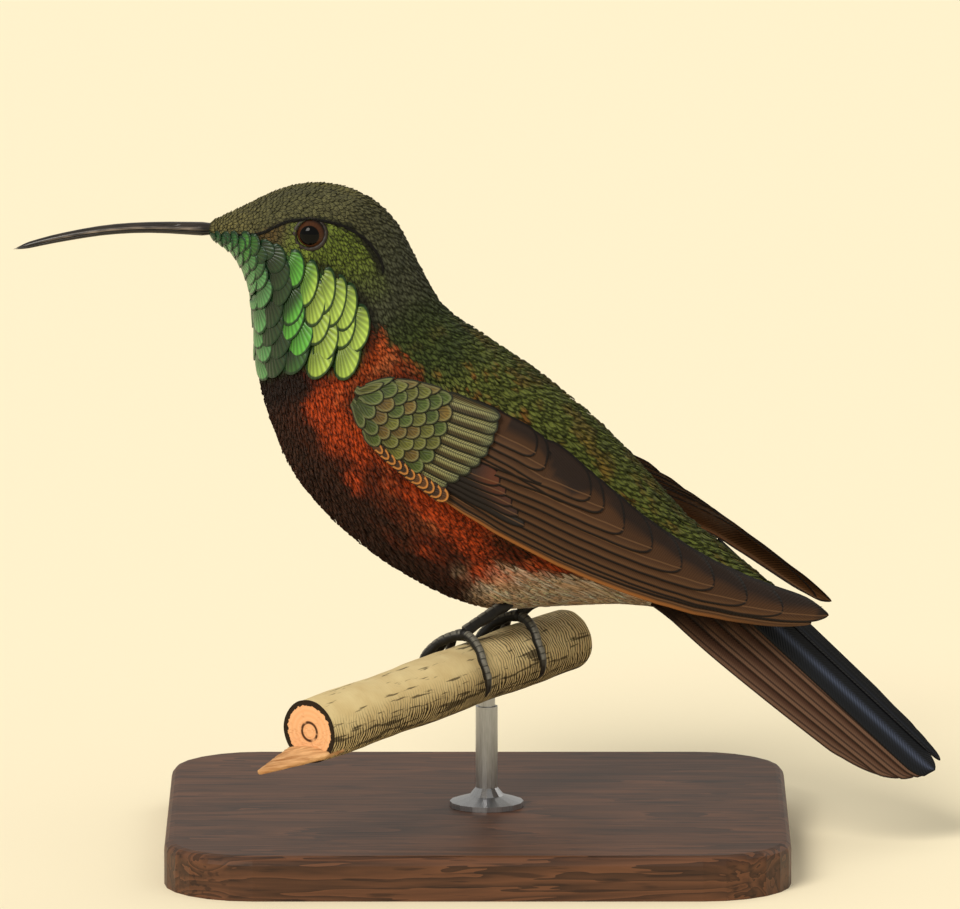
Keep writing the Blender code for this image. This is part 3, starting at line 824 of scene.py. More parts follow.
templates = {
    "scale": vaneTemplate(4, 5, 1.5),
    "soft": vaneTemplate(2, 4),
    "broad": vaneTemplate(8, 12, 1.5),
}
templates["soft"]["ragged"] = (np.round(templates["soft"]["across"] + 1) % 2).astype(float)
tailward = unit(body["centres"][-1] - body["centres"][-4])
overhang = 4.5   # millimetres that a feather may reach past the rump


mattLook = {"roughness": 0.65, "specular": 0.2}
featherLooks = {
    # barbs: how many show along a vane; slant: how far they lean back; rims and shaft lines: a
    # colour, a width in millimetres and a strength
    "crown": {**mattLook, "barbs": 3.0, "slant": 0.35,
              "barbShade": 0.45, "rim": ("24241A", 0.11, 0.75), "bump": 0.5},
    "nape": {**mattLook, "barbs": 1.5, "slant": 2.0,
             "barbShade": 0.6, "rim": ("1E2016", 0.10, 0.7), "bump": 0.5},
    "back": {**mattLook, "barbs": 2.0, "slant": 1.6,
             "barbShade": 0.65, "rim": ("161C0C", 0.13, 0.7), "bump": 0.6},
    "breast": {"roughness": 0.75, "specular": 0.1, "sheen": 0.04, "barbs": 2.0, "slant": 2.0,
               "barbShade": 0.40, "rim": ("2A1209", 0.10, 0.5), "bump": 0.6},
    "vent": {"roughness": 0.8, "specular": 0.15, "sheen": 0.1, "barbs": 1.0, "slant": 3.0,
             "barbShade": 0.25, "rim": ("A07A58", 0.08, 0.3), "bump": 0.6},
    "gorget": {"roughness": 0.38, "specular": 0.4, "metallic": 0.1, "fan": 7.5,
               "barbShade": 0.42, "rim": ("0E2E16", 0.38, 0.95), "bump": 0.5},
    "line": {"roughness": 0.6, "specular": 0.2, "barbs": 2.0, "slant": 1.0,
             "barbShade": 0.3, "bump": 0.4},
}


def offGorget(distance, turn):  # the coat runs on a little way under the gorget's rim
    return gorgetShare(distance + 2.4, np.abs(turn) - 8) < 0.5


def upperSide(distance, turn):
    return np.abs(turn) < fromTable(markings["redTop"], distance) + 4 * (distance > 22)


breastPlan = {
    "rowStep": [(0, 0.45), (20, 0.56), (32, 0.64), (50, 0.74), (75, 0.85), (99, 1.0)],
    "acrossStep": [(0, 0.38), (20, 0.44), (32, 0.5), (50, 0.56), (75, 0.66), (99, 0.8)],
    "halfWidthOverStep": 0.62,
    "lengthOverStep": 3.6,
    "turnJitter": 9.0,
}
ventPlan = {
    "rowStep": [(0, 0.8), (99, 1.0)],
    "acrossStep": [(0, 0.48), (99, 0.56)],
    "halfWidthOverStep": 0.46,
    "lengthOverStep": 5.6,
    "turnJitter": 5.0,
    "vary": 0.03,
    "arch": 0.04,
    "lift": 0.08,
    "shadeSpan": (0.0, 0.35),
}


def onVent(distance, turn):
    return np.abs(turn) >= fromTable(markings["ventTop"], distance) - 90 * (distance < 58)


def layPlumage():
    onBreast = {**coatPlan, **breastPlan}
    onNape = {**coatPlan, "lengthOverStep": 3.6, "halfWidthOverStep": 0.68}
    layCoat("coat_head", (0.0, 13.0), "scale", "crown", offGorget)
    layCoat("coat_nape", (13.0, 24.5), "soft", "nape",
            lambda s, t: offGorget(s, t) & upperSide(s, t), plan=onNape)
    layCoat("coat_mantle", (24.5, 50), "soft", "back", upperSide, plan=onNape)
    layCoat("coat_back", (50, 98.6), "soft", "back",
            lambda s, t: np.abs(t) < fromTable(markings["ventTop"], s), plan=onNape)
    layCoat("coat_breast", (17.0, 36), "soft", "breast",
            lambda s, t: offGorget(s, t) & ~upperSide(s, t), plan=onBreast)
    layCoat("coat_belly", (36, 67), "soft", "breast",
            lambda s, t: ~upperSide(s, t) & ((s < 58) | onVent(s, t)), plan=onBreast)
    layCoat("coat_vent", (59, 98.6), "soft", "vent", onVent,
            plan={**coatPlan, **ventPlan})


# The narrow dark line over the eye: short bristles that follow it, on both sides of the head

eyeLinePlan = {
    "stops": [(1.2, 103), (4.9, 90.5), (7.0, 84), (8.4, 75), (9.8, 63), (11.2, 54.5), (12.6, 46.5),
              (14.0, 39.5), (15.4, 35.5), (16.8, 34.5), (18.9, 35.5), (20.6, 40)],
    "lift": 0.12,
    "half": 0.15,
    "long": 1.5,
    "step": 0.22,
    "lanes": (-0.07, 0.0, 0.07),
    "tint": "0C0A06",
}


def layEyeLine():
    plan, name = eyeLinePlan, "eye_line"
    template = templates["soft"]
    across, place = template["across"], template["place"]
    points = []
    for sign in (-1, 1):
        path = along(plan["stops"], np.linspace(0, len(plan["stops"]) - 1, 300)) * (1, sign)
        spine = bodyPoint(path[:, 0], path[:, 1], np.full(300, plan["lift"]))
        normal = unit(readGrid(body["normal"], ringOf(path[:, 0]), spokeOf(path[:, 1])))
        run = np.concatenate([[0], np.cumsum(np.linalg.norm(np.diff(spine, axis=0), axis=1))])
        ahead = unit(np.gradient(spine, axis=0))
        for number, root in enumerate(np.arange(0, run[-1] - plan["long"], plan["step"])):
            at = root + plan["long"] * place
            here, way, up = (np.stack([np.interp(at, run, part[:, k]) for k in range(3)], axis=1)
                             for part in (spine, ahead, normal))
            thin = ramp(0, 3, root) * ramp(run[-1], run[-1] - 4, root) * 0.6 + 0.4
            side = across * plan["half"] * profileOf("soft", place) + plan["lanes"][number % 3]
            rise = 0.05 * (template["layer"] - 1) - 0.2 * (1 - place) + 0.03 * chance.normal()
            points.append(here + np.cross(up, way) * (side * thin)[:, None] + up * rise[:, None])
    mesh = joinedMesh(name, np.array(points), template)
    count = len(points) * len(across)
    uneven = 1 + 0.25 * chance.normal(0, 1, (count, 1))
    addColours(mesh, np.tile(srgb(plan["tint"]), (count, 1)) * uneven)
    barb = barbPhase(featherLooks["line"], across, place, 0, 0)
    addValues(mesh, "barb", np.tile(barb, len(points)))
    home = np.stack([0.05 + 0.1 * across, 0.5 + 0.4 * place], axis=-1)
    addUv(mesh, "OFBake", np.tile(home, (len(points), 1)))
    finishPiece(name, mesh, finishes["line"])


gorgetPlan = {
    "rowStep": [(0, 0.7), (5, 1.25), (10, 1.8), (15, 2.1), (29, 2.3)],
    "acrossStep": [(0, 1.1), (5, 1.9), (10, 2.8), (15, 3.5), (22, 3.9), (29, 3.9)],
    "lengthOverStep": 2.1,
    "halfWidthOverStep": 0.60,
    "thickness": 0.09,
    "turnJitter": 1.5,
    "vary": 0.03,
    "lift": 0.34,
    "sink": 0.75,
    "arch": 0.05,
    "shadeSpan": (0.35, 0.9),
}
gorgetEdges = {   # millimetres from the bill and degrees round, where one colour gives way
    "lime": [(14, 98), (16.8, 103), (18.9, 108), (21.7, 111), (25.2, 120), (29, 124)],
    "dark": [(9, 96), (12.6, 104), (16.1, 116), (18.2, 120), (20.3, 128), (29, 130)],
    "front": [(7, 125), (10.5, 140), (16.1, 148), (21.7, 154), (29, 158)],
}
gorgetColours = {
    "chin": "2A6234",
    "front": "5E9C5C",
    "dark": "263F20",
    "green": "5EB03E",
    "lime": "A6C44E",
}


def gorgetRoots():  # rows that end even with the gorget's lower rim and start at its upper one
    spokes = np.arange(0, bodyPlan["spokes"] / 2, 1.0)
    degrees = spokes / bodyPlan["spokes"] * 360
    fullRun = readGrid(surfaceRun, ringOf(fromTable(markings["gorgetEnd"], degrees)), spokes)
    tips, total = [], float(np.median(fullRun[degrees > 90]))
    at = total
    while at > 0.9:
        tips.append(at / total)
        at -= float(fromTable(gorgetPlan["rowStep"], at))
    distances, turns, steps = [], [], []
    for row, tip in enumerate(tips):
        tipRun = fullRun * tip
        tipAt = ringAt(tipRun, spokes) * bodyPlan["ringStep"]
        long = gorgetPlan["lengthOverStep"] * fromTable(gorgetPlan["rowStep"], tipAt)
        waist = ringAt(np.maximum(tipRun - 0.45 * long, 0.1), spokes) * bodyPlan["ringStep"]
        inside = degrees >= fromTable(markings["gorgetTop"], waist)
        line = readGrid(body["outer"], ringOf(tipAt), spokes)
        lap = np.concatenate([[0], np.cumsum(np.linalg.norm(np.diff(line, axis=0), axis=1))])
        border, end = np.interp(degrees[inside].min(), degrees, lap), lap[-1]
        step = float(fromTable(gorgetPlan["acrossStep"], np.median(tipAt[inside])))
        count = max(2, int(round((end - border) / step)))
        step = (end - border) / count
        stops = border + (np.arange(count + row % 2) + 0.5 * (1 - row % 2)) * step
        stops = stops + 0.35 * step * (np.arange(len(stops)) == 0) * (row % 2)
        spoke = np.interp(stops, lap, spokes)
        root = np.maximum(np.interp(spoke, spokes, tipRun) - np.interp(spoke, spokes, long), 0.1)
        start = ringAt(root, spoke) * bodyPlan["ringStep"]
        turn = spoke / bodyPlan["spokes"] * 360
        once = spoke < spokes[-1] - 0.5   # a scale on the middle line is laid only once
        distances += [start, start[once]]
        turns += [turn, -turn[once]]
        steps += [np.full(len(turn), step), np.full(once.sum(), step)]
    return (np.concatenate(part) for part in (distances, turns, steps))


def gorgetTone(distance, turn):
    turn = np.abs(turn)
    fine = speckle(distance, turn)
    tone = np.tile(srgb(gorgetColours["chin"]), (len(distance), 1))
    limeGap, darkGap, frontGap = (turn - fromTable(gorgetEdges[name], distance)
                                  for name in ("lime", "dark", "front"))
    lime = ramp(14.5, 19.0, distance) * ramp(4, -4, limeGap)
    # painted shade: the gorget's lower front, turned away from the light, is painted dark green
    dark = ramp(-4, 4, darkGap + 6 * (fine - 0.5)) * ramp(5, 8, distance)
    return blendAll(tone, ((ramp(3, 8, distance), "green"), (lime, "lime"), (dark, "dark"),
                           (ramp(-6, 6, frontGap), "front")), gorgetColours)


def layGorget():
    layCoat("gorget", (0.0, 30.0), "broad", "gorget", None,
            plan={**coatPlan, **gorgetPlan, "roots": gorgetRoots}, shade=0.05, tone=gorgetTone)


# Sheets: wings and tail halves, measured from their solids so that long feathers lie on them.
# a runs in millimetres from the root, q is the share of the breadth there, from 0 to 1.

sheetPlan = {
    "columns": 24,
    "rootTrim": 0.3,     # left off at the root, and at the tip
    "tipTrim": 0.15,
    "rayStep": 0.2,
    "spill": 0.05,       # past the outermost ray that hits
    "castFrom": 60.0,
    "evenFrom": 0.4,     # of a flat fan's length, where its lines count as straight
}


def measureSheet(names, outward, qWay):
    flatFan = outward is None
    columns, far = sheetPlan["columns"], sheetPlan["castFrom"]
    shape = nodeShape(*names)
    tree = BVHTree.FromBMesh(shape)
    points = np.array([v.co for v in shape.verts])
    shape.free()
    middle = points.mean(axis=0)
    if flatFan:   # look at it squarely
        outward = np.linalg.svd(points - middle, full_matrices=False)[2][2]
        outward = outward * np.sign(outward[2])
    outward = unit(np.array(outward, float))
    flat = points - middle
    flat = flat - (flat @ outward)[:, None] * outward
    heading = np.linalg.svd(flat, full_matrices=False)[2][0]
    heading = heading * np.sign(heading[0])
    rise = np.cross(heading, outward)
    rise = rise * np.sign(rise @ np.array(qWay, float))
    reach, spread = flat @ heading, flat @ rise
    start, end = reach.min() + sheetPlan["rootTrim"], reach.max() - sheetPlan["tipTrim"]
    stations = np.linspace(start, end, int(end - start) + 1)
    lines = np.arange(spread.min(), spread.max() + sheetPlan["rayStep"], sheetPlan["rayStep"])

    def cast(a, c, sign):
        begin = middle + heading * a + rise * c + outward * far * sign
        hit = tree.ray_cast(Vector(begin), Vector(-outward * sign), 2 * far)[0]
        return np.nan if hit is None else (np.array(hit) - middle) @ outward

    low, high = np.zeros(len(stations)), np.zeros(len(stations))
    front, back = np.zeros((2, len(stations), columns))
    for i, a in enumerate(stations):
        inside = [c for c in lines if not np.isnan(cast(a, c, 1))]
        low[i], high[i] = min(inside) - sheetPlan["spill"], max(inside) + sheetPlan["spill"]
        for j in range(columns):
            c = low[i] + (high[i] - low[i]) * (0.03 + 0.94 * (j + 0.5) / columns)
            front[i, j], back[i, j] = cast(a, c, 1), cast(a, c, -1)
    for grid in (front, back):
        for i in range(len(stations)):
            known = ~np.isnan(grid[i])
            if known.any():
                grid[i] = np.interp(np.arange(columns), np.flatnonzero(known), grid[i, known])
            else:
                grid[i] = grid[i - 1]
        for _ in range(3):
            soften(grid)
            soften(grid.T)
    for edge in (low, high):
        soften(edge)
    limit = np.ones(len(stations))
    if flatFan:   # a straight ridge, an even face, and the breadth of the whole fan throughout
        share = (stations - start) / (end - start)
        even = stations > start + sheetPlan["evenFrom"] * (end - start)
        low = np.polyval(np.polyfit(stations[even], low[even], 1), stations)
        breadth = (high - low).max()
        limit = np.maximum((high - low) / breadth, ramp(0.5, 0.3, share))
        front = np.stack([np.polyval(np.polyfit(stations[even], front[even, j], 1), stations)
                          for j in range(columns)], axis=1)
        front = np.repeat(np.median(front, axis=1)[:, None], columns, axis=1)
        high = low + breadth
    return {
        "middle": middle, "heading": heading, "rise": rise, "outward": outward,
        "stations": stations, "low": low, "high": high, "front": front, "back": back,
        "limit": limit, "length": end - start, "columns": columns,
    }


def breadthOf(sheet, a):
    return np.interp(a, sheet["stations"] - sheet["stations"][0], sheet["high"] - sheet["low"])


def limitOf(sheet, a):  # the outline's own edge, as a share of the breadth
    return np.interp(a, sheet["stations"] - sheet["stations"][0], sheet["limit"])


def sheetPoint(sheet, a, q, depth):  # depth in millimetres under the outer face
    a, q, depth = np.broadcast_arrays(a, q, depth)
    stations = sheet["stations"]
    place = np.clip(a / (stations[1] - stations[0]), 0, len(stations) - 1.001)
    column = np.clip(q * sheet["columns"] - 0.5, 0, sheet["columns"] - 1.001)
    level = readGrid(sheet["front"], place, column) - depth
    i = np.floor(place).astype(int)
    u = place - i
    low, high = (sheet[edge][i] * (1 - u) + sheet[edge][i + 1] * u for edge in ("low", "high"))
    c = low + (high - low) * q
    return (sheet["middle"] + sheet["heading"] * (stations[0] + a)[..., None]
            + sheet["rise"] * c[..., None] + sheet["outward"] * level[..., None])


def longVanes(name, sheet, feathers, lookName, replaced=(), columns=10, rows=34):
    # each feather: root and tip (a, q), bend, half widths towards q 0 and q 1, and how it is laid
    strip = vaneTemplate(columns, rows, 1.6)
    across, place, layer = strip["across"], strip["place"], strip["layer"]
    points, tones, patch, values = [], [], [], {"barb": [], "edge": [], "shaft": []}
    stops = np.linspace(0.04, 1, 300)

    def widthAt(feather, place, q, breadth, across):
        slim = feather.get("rootShare", 0.35)
        grow = slim + (1 - slim) * ramp(0, 0.3, place)
        tip = np.clip((place - 1 + feather["tipShare"]) / feather["tipShare"], 0, 1)
        close = np.sqrt(np.clip(1 - tip ** feather.get("tipPower", 2.2), 0, 1))
        half = np.where(across > 0, feather["high"], feather["low"]) * grow
        a = feather["root"][0] + place * (feather["tip"][0] - feather["root"][0])
        room = np.where(across > 0, limitOf(sheet, a) - q, q) * breadth
        half = np.minimum(half, np.maximum(room + feather.get("spill", 0), 0.15))
        return half * np.maximum(close, 0.04)

    for number, feather in enumerate(feathers):
        (a0, q0), (a1, q1) = feather["root"], feather["tip"]
        bend = feather["bend"]
        a = a0 + (a1 - a0) * place
        q = q0 + (q1 - q0) * place ** bend
        slope = (q1 - q0) * bend * np.maximum(place, 0.02) ** (bend - 1) / (a1 - a0)
        breadth = np.maximum(breadthOf(sheet, a), 0.8)
        lean = np.arctan(slope * breadth)
        side = across * widthAt(feather, place, q, breadth, across)
        long = a1 - a0
        qStops = q0 + (q1 - q0) * stops ** bend
        bStops = np.maximum(breadthOf(sheet, a0 + long * stops), 0.8)
        border = [sign * widthAt(feather, stops, qStops, bStops, np.full(len(stops), sign))
                  for sign in (-1.0, 1.0)]
        gap = edgeGap(place * long, side, np.concatenate([stops, stops]) * long,
                      np.concatenate(border))
        bare = (across < 0) & feather.get("openEdge", False) | (place < feather.get("rimFrom", -1))
        values["edge"].append(np.where(bare, 1.0, gap))
        values["barb"].append(barbPhase(featherLooks[lookName], across, place, side, place * long))
        line = feather.get("shaftAt")   # the line on it follows the shaft, or this share of the web
        offLine = np.abs(side) if line is None else np.abs(across - line) * feather["high"]
        values["shaft"].append(offLine)
        a = a - side * np.sin(lean)
        q = q + side * np.cos(lean) / breadth
        if "slope" in feather:
            start = feather["low"] if feather["way"] > 0 else feather["high"]
            tilt = feather["slope"] * np.clip(side * feather["way"] + start, 0, 6)
        else:
            tilt = feather["tilt"] * (1 + across * feather["way"]) / 2
        depth = feather["depth"] + tilt - feather.get("arch", 0) * (1 - across**2)
        depth = depth + feather.get("sink", 0) * ramp(23, 15, a)
        depth = depth + feather.get("rootDip", 0) * (1 - place)
        depth = depth + feather["thick"] * (1 - layer)
        points.append(sheetPoint(sheet, a, q, depth))
        tones.append(feather["tone"](place, across, a, q))
        home = (number + 0.5) / len(feathers)
        patch.append(np.stack([home + across * 0.4 / len(feathers), 0.02 + 0.96 * place], axis=-1))
    mesh = joinedMesh(name, np.array(points), strip)
    addColours(mesh, np.concatenate(tones))
    addUv(mesh, "OFBake", np.concatenate(patch))
    for key, parts in values.items():
        addValues(mesh, key, np.concatenate(parts))
    finishPiece(name, mesh, finishes[lookName], replaced)
    print(name + ":", len(feathers), "vanes")


# Wings

wingPlan = {
    # tips of the flight feathers, as shares of the wing's length and of its breadth there
    "tips": [(0.347, 0.83), (0.375, 0.765), (0.399, 0.68), (0.443, 0.645), (0.477, 0.80),
             (0.509, 0.79), (0.561, 0.72), (0.625, 0.72), (0.692, 0.665), (0.763, 0.615),
             (0.833, 0.525), (0.905, 0.485), (0.99, 0.55), (0.965, 0.22)],
    "rootStart": 12.0,
    "rootHigh": 0.80,
    "rootLow": 0.06,
    "thick": 0.11,
    "slope": 0.15,      # how much each vane dips toward the trailing edge, under the next one in
    "armStations": 17,  # about a millimetre each
    "armInset": 0.42,
}
covertPlans = {   # lengths, widths and depths in millimetres; q runs as on the sheets
    "lesser": {
        "rows": 7, "start": 0.7, "step": 1.55, "bow": 1.6, "long": 3.0, "half": 1.35, "depth": -0.40,
        "tilt": 0.10, "drift": 0.01,
        "colours": ("lesser", "lesserGreen", "lesserGreen", "lesserWarm")},
    "marginal": {
        "rows": 11, "start": 4.4, "step": 1.05, "count": 1, "q": (0.10, 0.10), "long": 2.4,
        "depth": -0.50, "stray": 0.03, "drift": -0.02, "rimFrom": 0.5,
        "colours": ("marginal", "marginalPale")},
    "greater": {
        "count": 8, "long": 8.8, "bend": 1.4, "low": 1.15, "high": 1.6, "way": 1, "depth": -0.2,
        "tilt": 0.28, "thick": 0.08, "tipShare": 0.2, "tipPower": 2.6, "arch": 0.10,
        "rootDip": 0.15},
    "primary": {
        "count": 5, "bend": 1.6, "low": 0.8, "high": 1.9, "way": 1, "depth": -0.05, "tilt": 0.26,
        "thick": 0.09, "tipShare": 0.22, "tipPower": 2.6, "arch": 0.05},
}
wingColours = {
    "vane": "3A220E",
    "vanePale": "56391F",
    "vanePaintedShade": "1D110A",
    "edgeLine": "8E5826",
    "lesser": "666828",
    "lesserGreen": "485820",
    "lesserWarm": "6E5A24",
    "greater": "463A18",
    "greaterPale": "AAA870",
    "greaterTip": "6A7250",
    "marginal": "3C2412",
    "marginalPale": "5E3A1A",
    "primaryCovert": "221B16",
    "primaryCovertRed": "5A2E18",
}
featherLooks["wing"] = {
    "roughness": 0.6, "specular": 0.2, "barbs": 120.0, "slant": 0.035, "barbShade": 0.22,
    "rim": ("0E0703", 0.34, 0.95), "shaft": ("7A5838", 0.10, 0.4), "bump": 0.35}
featherLooks["covert"] = {
    "roughness": 0.55, "specular": 0.3, "barbs": 3.0, "slant": 1.1, "barbShade": 0.45,
    "rim": ("12140A", 0.24, 0.92), "innerRim": ("8E9064", 0.55, 0.30), "bump": 0.5}
featherLooks["marginal"] = dict(featherLooks["covert"], rim=("1E0E06", 0.12, 0.9),
                                innerRim=("C07E38", 0.42, 0.9))
featherLooks["greaterCovert"] = {
    "roughness": 0.55, "specular": 0.3, "barbs": 26.0, "slant": 0.12, "barbShade": 0.6,
    "rim": ("15170C", 0.32, 0.92), "shaft": ("1E1E10", 0.12, 0.7), "bump": 0.5}


def mixTone(first, second, share):
    return blend(np.array(srgb(wingColours[first])), share, second, wingColours)


def wingVane(sheet, number, count, side):
    tips, highest, lowest = (wingPlan[key] for key in ("tips", "rootHigh", "rootLow"))
    share, q = tips[number]
    near = side == "left"
    rootQ = highest + (lowest - highest) * number / (count - 1)
    tipLine = [(s * sheet["length"], t) for s, t in tips]
    outermost = number == count - 1

    def tone(place, across, a, qHere):
        pale = 0.9 * ramp(-0.2, -0.75, across) + 0.3 * ramp(0.2, 0.8, place)
        tones = mixTone("vane", "vanePale", pale)
        # painted shade over the vanes above the row of tips, under the back's feathers; faint on the
        # far wing
        above = (qHere - fromTable(tipLine, a)) * breadthOf(sheet, a)
        shade = ramp(0.3, 1.3, above) * (a > 20) * (0.92 if near else 0.2)
        tones = blend(tones, shade, "vanePaintedShade", wingColours)
        if outermost:
            edge = ramp(-0.25, -0.6, across) * ramp(0.96, 0.6, place)
            tones = blend(tones, edge, "edgeLine", wingColours)
        # painted light: the far wing, in the body's shade, is painted half again as bright
        return tones * (1 + 0.08 * math.sin(number * 2.4)) * (1 if near else 1.5)

    return {
        "root": (wingPlan["rootStart"], rootQ),
        "tip": (share * sheet["length"], q),
        "bend": 2.0 if number > 3 else 1.5,
        "low": 0.75 if outermost else 1.15,
        "high": (4.6 if near else 2.6) if number > 3 else 3.4,
        "way": 1, "depth": 0.03, "slope": wingPlan["slope"], "thick": wingPlan["thick"], "sink": 0.5,
        "openEdge": outermost and near,
        "tipShare": 0.3 if outermost else 0.11 if number > 3 else 0.2, "tipPower": 2.6,
        "tone": tone,
    }


def buildArm(name, sheet, replaced):  # the fleshy arm under the coverts
    columns, inset = sheet["columns"], wingPlan["armInset"]
    q = 0.04 + 0.92 * (np.arange(columns) + 0.5) / columns
    rings = []
    for i in range(wingPlan["armStations"]):
        front = sheetPoint(sheet, np.full(columns, float(i)), q, np.full(columns, inset))
        thick = (sheet["front"][i] - sheet["back"][i]) - 0.1
        back = sheetPoint(sheet, np.full(columns, float(i)), q, np.maximum(thick, inset + 0.2))
        rings.append(np.concatenate([front, back[::-1]]))
    shape = bmesh.new()
    loft(shape, rings)
    # bare arm skin: thin, dull and slightly leathery
    skin = grainMaterial("arm_skin_with_down", {
        "shader": {"Roughness": 0.75, "Specular IOR Level": 0.2}, "size": 0.5, "dark": "1E1E10",
        "pale": "3A3A20", "relief": 0.08})
    newPiece(name, shape, skin, replaced)


def smallCoverts(rows, seed):
    pick = np.random.default_rng(seed)
    feathers = []
    for row in rows:
        count = row["count"]
        for k in range(count):
            share = (k + 0.5 * row.get("shift", 0)) / max(count - 1, 1)
            q = row["q"][0] + (row["q"][1] - row["q"][0]) * share
            a = row["a"] - row.get("bow", 0) * (2 * q - 1) ** 2
            a = a + pick.normal(0, row.get("stray", 0.12))
            tint = row["colours"][int(pick.integers(len(row["colours"])))]
            tint = np.array(srgb(wingColours[tint]))
            bright = 0.8 + 0.4 * pick.random()

            def tone(place, across, aHere, qHere, tint=tint, bright=bright):
                # painted shade: darker toward the root, under the row that lies over it
                light = bright * (0.55 + 0.6 * ramp(0.3, 1, place))
                return tint * light[:, None]

            feathers.append({
                "root": (a, q), "tip": (a + row["long"], q + row["drift"]), "bend": 1.0,
                "low": row["half"], "high": row["half"], "way": 1, "depth": row["depth"],
                "tilt": row.get("tilt", 0.12), "thick": 0.07, "tipShare": 0.5, "rootShare": 0.6,
                "tipPower": 2.0, "arch": 0.08, "rootDip": 0.3, "rimFrom": row.get("rimFrom", -1),
                "tone": tone,
            })
    return feathers


def greaterTone(place, across, aHere, qHere):  # dark web, pale band down its middle, grey-green tip
    pale = ramp(-0.45, -0.15, across) * ramp(0.4, 0.1, across)
    tones = mixTone("greater", "greaterPale", pale * 0.85)
    return blend(tones, ramp(0.72, 0.98, place) * 0.7, "greaterTip", wingColours)


def buildWing(side):
    arm, flight = ("wing_%s_%s" % (side, part) for part in ("coverts", "flight"))
    sheet = measureSheet((arm, flight), (0, -1 if side == "left" else 1, 0), (0, 0, 1))
    count = len(wingPlan["tips"])
    vanes = [wingVane(sheet, k, count, side) for k in range(count)]
    longVanes(flight + "_vanes", sheet, vanes, "wing", (flight,))
    buildArm("wing_%s_arm" % side, sheet, (arm,))
    lesser, marginal, greater, primary = covertPlans.values()
    lesserRows = [{**lesser, "a": lesser["start"] + lesser["step"] * r, "count": 4 + min(r, 2),
                   "q": (0.20 if r > 2 else 0.14, 0.93), "shift": r % 2}
                  for r in range(lesser["rows"])]
    marginalRows = [{**marginal, "a": marginal["start"] + marginal["step"] * r,
                     "half": 0.72 + 0.04 * r} for r in range(marginal["rows"])]
    greaterVanes = []
    for k in range(greater["count"]):
        share = k / (greater["count"] - 1)
        q = 0.20 + 0.76 * share
        tipA = 16.3 + 2.2 * share + 1.6 * math.sin(share * math.pi)
        greaterVanes.append({**greater, "root": (tipA - greater["long"], q - 0.05), "tip": (tipA, q),
                             "tone": greaterTone})
    primaryVanes = []
    for k in range(primary["count"]):
        share = k / (primary["count"] - 1)
        primaryVanes.append({
            **primary, "root": (11.0 + 1.2 * share, 0.36 - 0.16 * share),
            "tip": (22.5 + 5.5 * share, 0.44 - 0.22 * share),
            "tone": lambda place, across, aHere, qHere, share=share: mixTone(
                "primaryCovert", "primaryCovertRed", ramp(0.6, 0.95, place) * (1 - share)),
        })
    for layer, feathers, lookName, columns, rows in (
            ("primary", primaryVanes, "wing", 8, 16),
            ("greater", greaterVanes, "greaterCovert", 8, 20),
            ("lesser", smallCoverts(lesserRows[::-1], 21), "covert", 6, 10),
            ("marginal", smallCoverts(marginalRows[::-1], 22), "marginal", 6, 10)):
        longVanes("wing_%s_%s_coverts" % (side, layer), sheet, feathers, lookName,
                  columns=columns, rows=rows)


# Tail

tailPlan = {
    "count": 5,
    "thick": 0.12,
    "slope": 0.12,
    "farRoot": 1.8,      # where the right half's vanes start, in millimetres, clear of the rump
    "outerRoot": -3.0,   # where the left half's outer vanes start, under the coat
}
tailColours = {
    "brown": "4A3022",
    "pale": "6C4F3C",
    "dark": "1C1009",
    "blue": "0E1117",
    "gloss": "56607A",
}
featherLooks["tail"] = dict(featherLooks["wing"], barbs=90.0, slant=0.06,
                            shaft=("24140B", 0.17, 0.8), rim=("1A0E07", 0.26, 0.85))
featherLooks["tailCentre"] = {
    "roughness": 0.5, "specular": 0.2, "barbs": 80.0, "slant": 0.06, "barbShade": 0.5,
    "rim": ("060608", 0.3, 0.8), "bump": 0.4}
featherLooks["tailFar"] = dict(featherLooks["tailCentre"], roughness=0.8, specular=0.05)


def tailVane(sheet, number, side):
    share = number / (tailPlan["count"] - 1)
    reach = sheet["length"] * (0.995 - 0.13 * share**1.4)
    brown, blue = (np.array(srgb(tailColours[key])) for key in ("brown", "blue"))
    dusky = number == 0 or side == "right"
    rootAt = tailPlan["outerRoot"] if number > 1 else 0.0
    if side == "right":
        rootAt = tailPlan["farRoot"]

    def tone(place, across, a, q):
        if dusky:
            # painted highlight: a pale blue-grey band along the shaft, faint on the far half
            band = np.exp(-((across - 0.18) / 0.16) ** 2) * ramp(0.1, 0.4, place)
            return blend(blue, band * (0.6 if side == "left" else 0.1), "gloss", tailColours)
        tones = blend(brown, ramp(0.15, 0.6, across), "pale", tailColours)
        tones = blend(tones, ramp(0.05, -0.25, across) * 0.85, "dark", tailColours)
        under = ramp(3.2, 0.8, a - 12 * (1 - share))   # painted shadow where the wing lies over it
        return blend(tones, under * 0.85, "dark", tailColours)

    return {
        "root": (rootAt, 0.10 + 0.76 * share),
        "tip": (reach, 0.09 + 0.50 * share), "bend": 1.5, "shaftAt": 0.6,
        "low": 2.6, "high": 2.9 if number == 0 else 1.9, "way": -1, "depth": 0.02,
        "slope": tailPlan["slope"], "thick": tailPlan["thick"], "rootShare": 0.85,
        "tipShare": 0.10, "tipPower": 2.4, "tone": tone, "spill": 0.55 if number == 0 else 0.0,
    }


def buildTail(side):
    sheet = measureSheet(("tail_" + side,), None, (0, -0.6, -0.8) if side == "left" else (0, 1, 0))
    feathers = [tailVane(sheet, k, side) for k in range(tailPlan["count"])]
    outer, inner = ("tail", "tailCentre") if side == "left" else ("tailFar", "tailFar")
    longVanes("tail_%s_vanes" % side, sheet, feathers[1:], outer, ("tail_" + side,))
    longVanes("tail_%s_centre" % side, sheet, feathers[:1], inner)
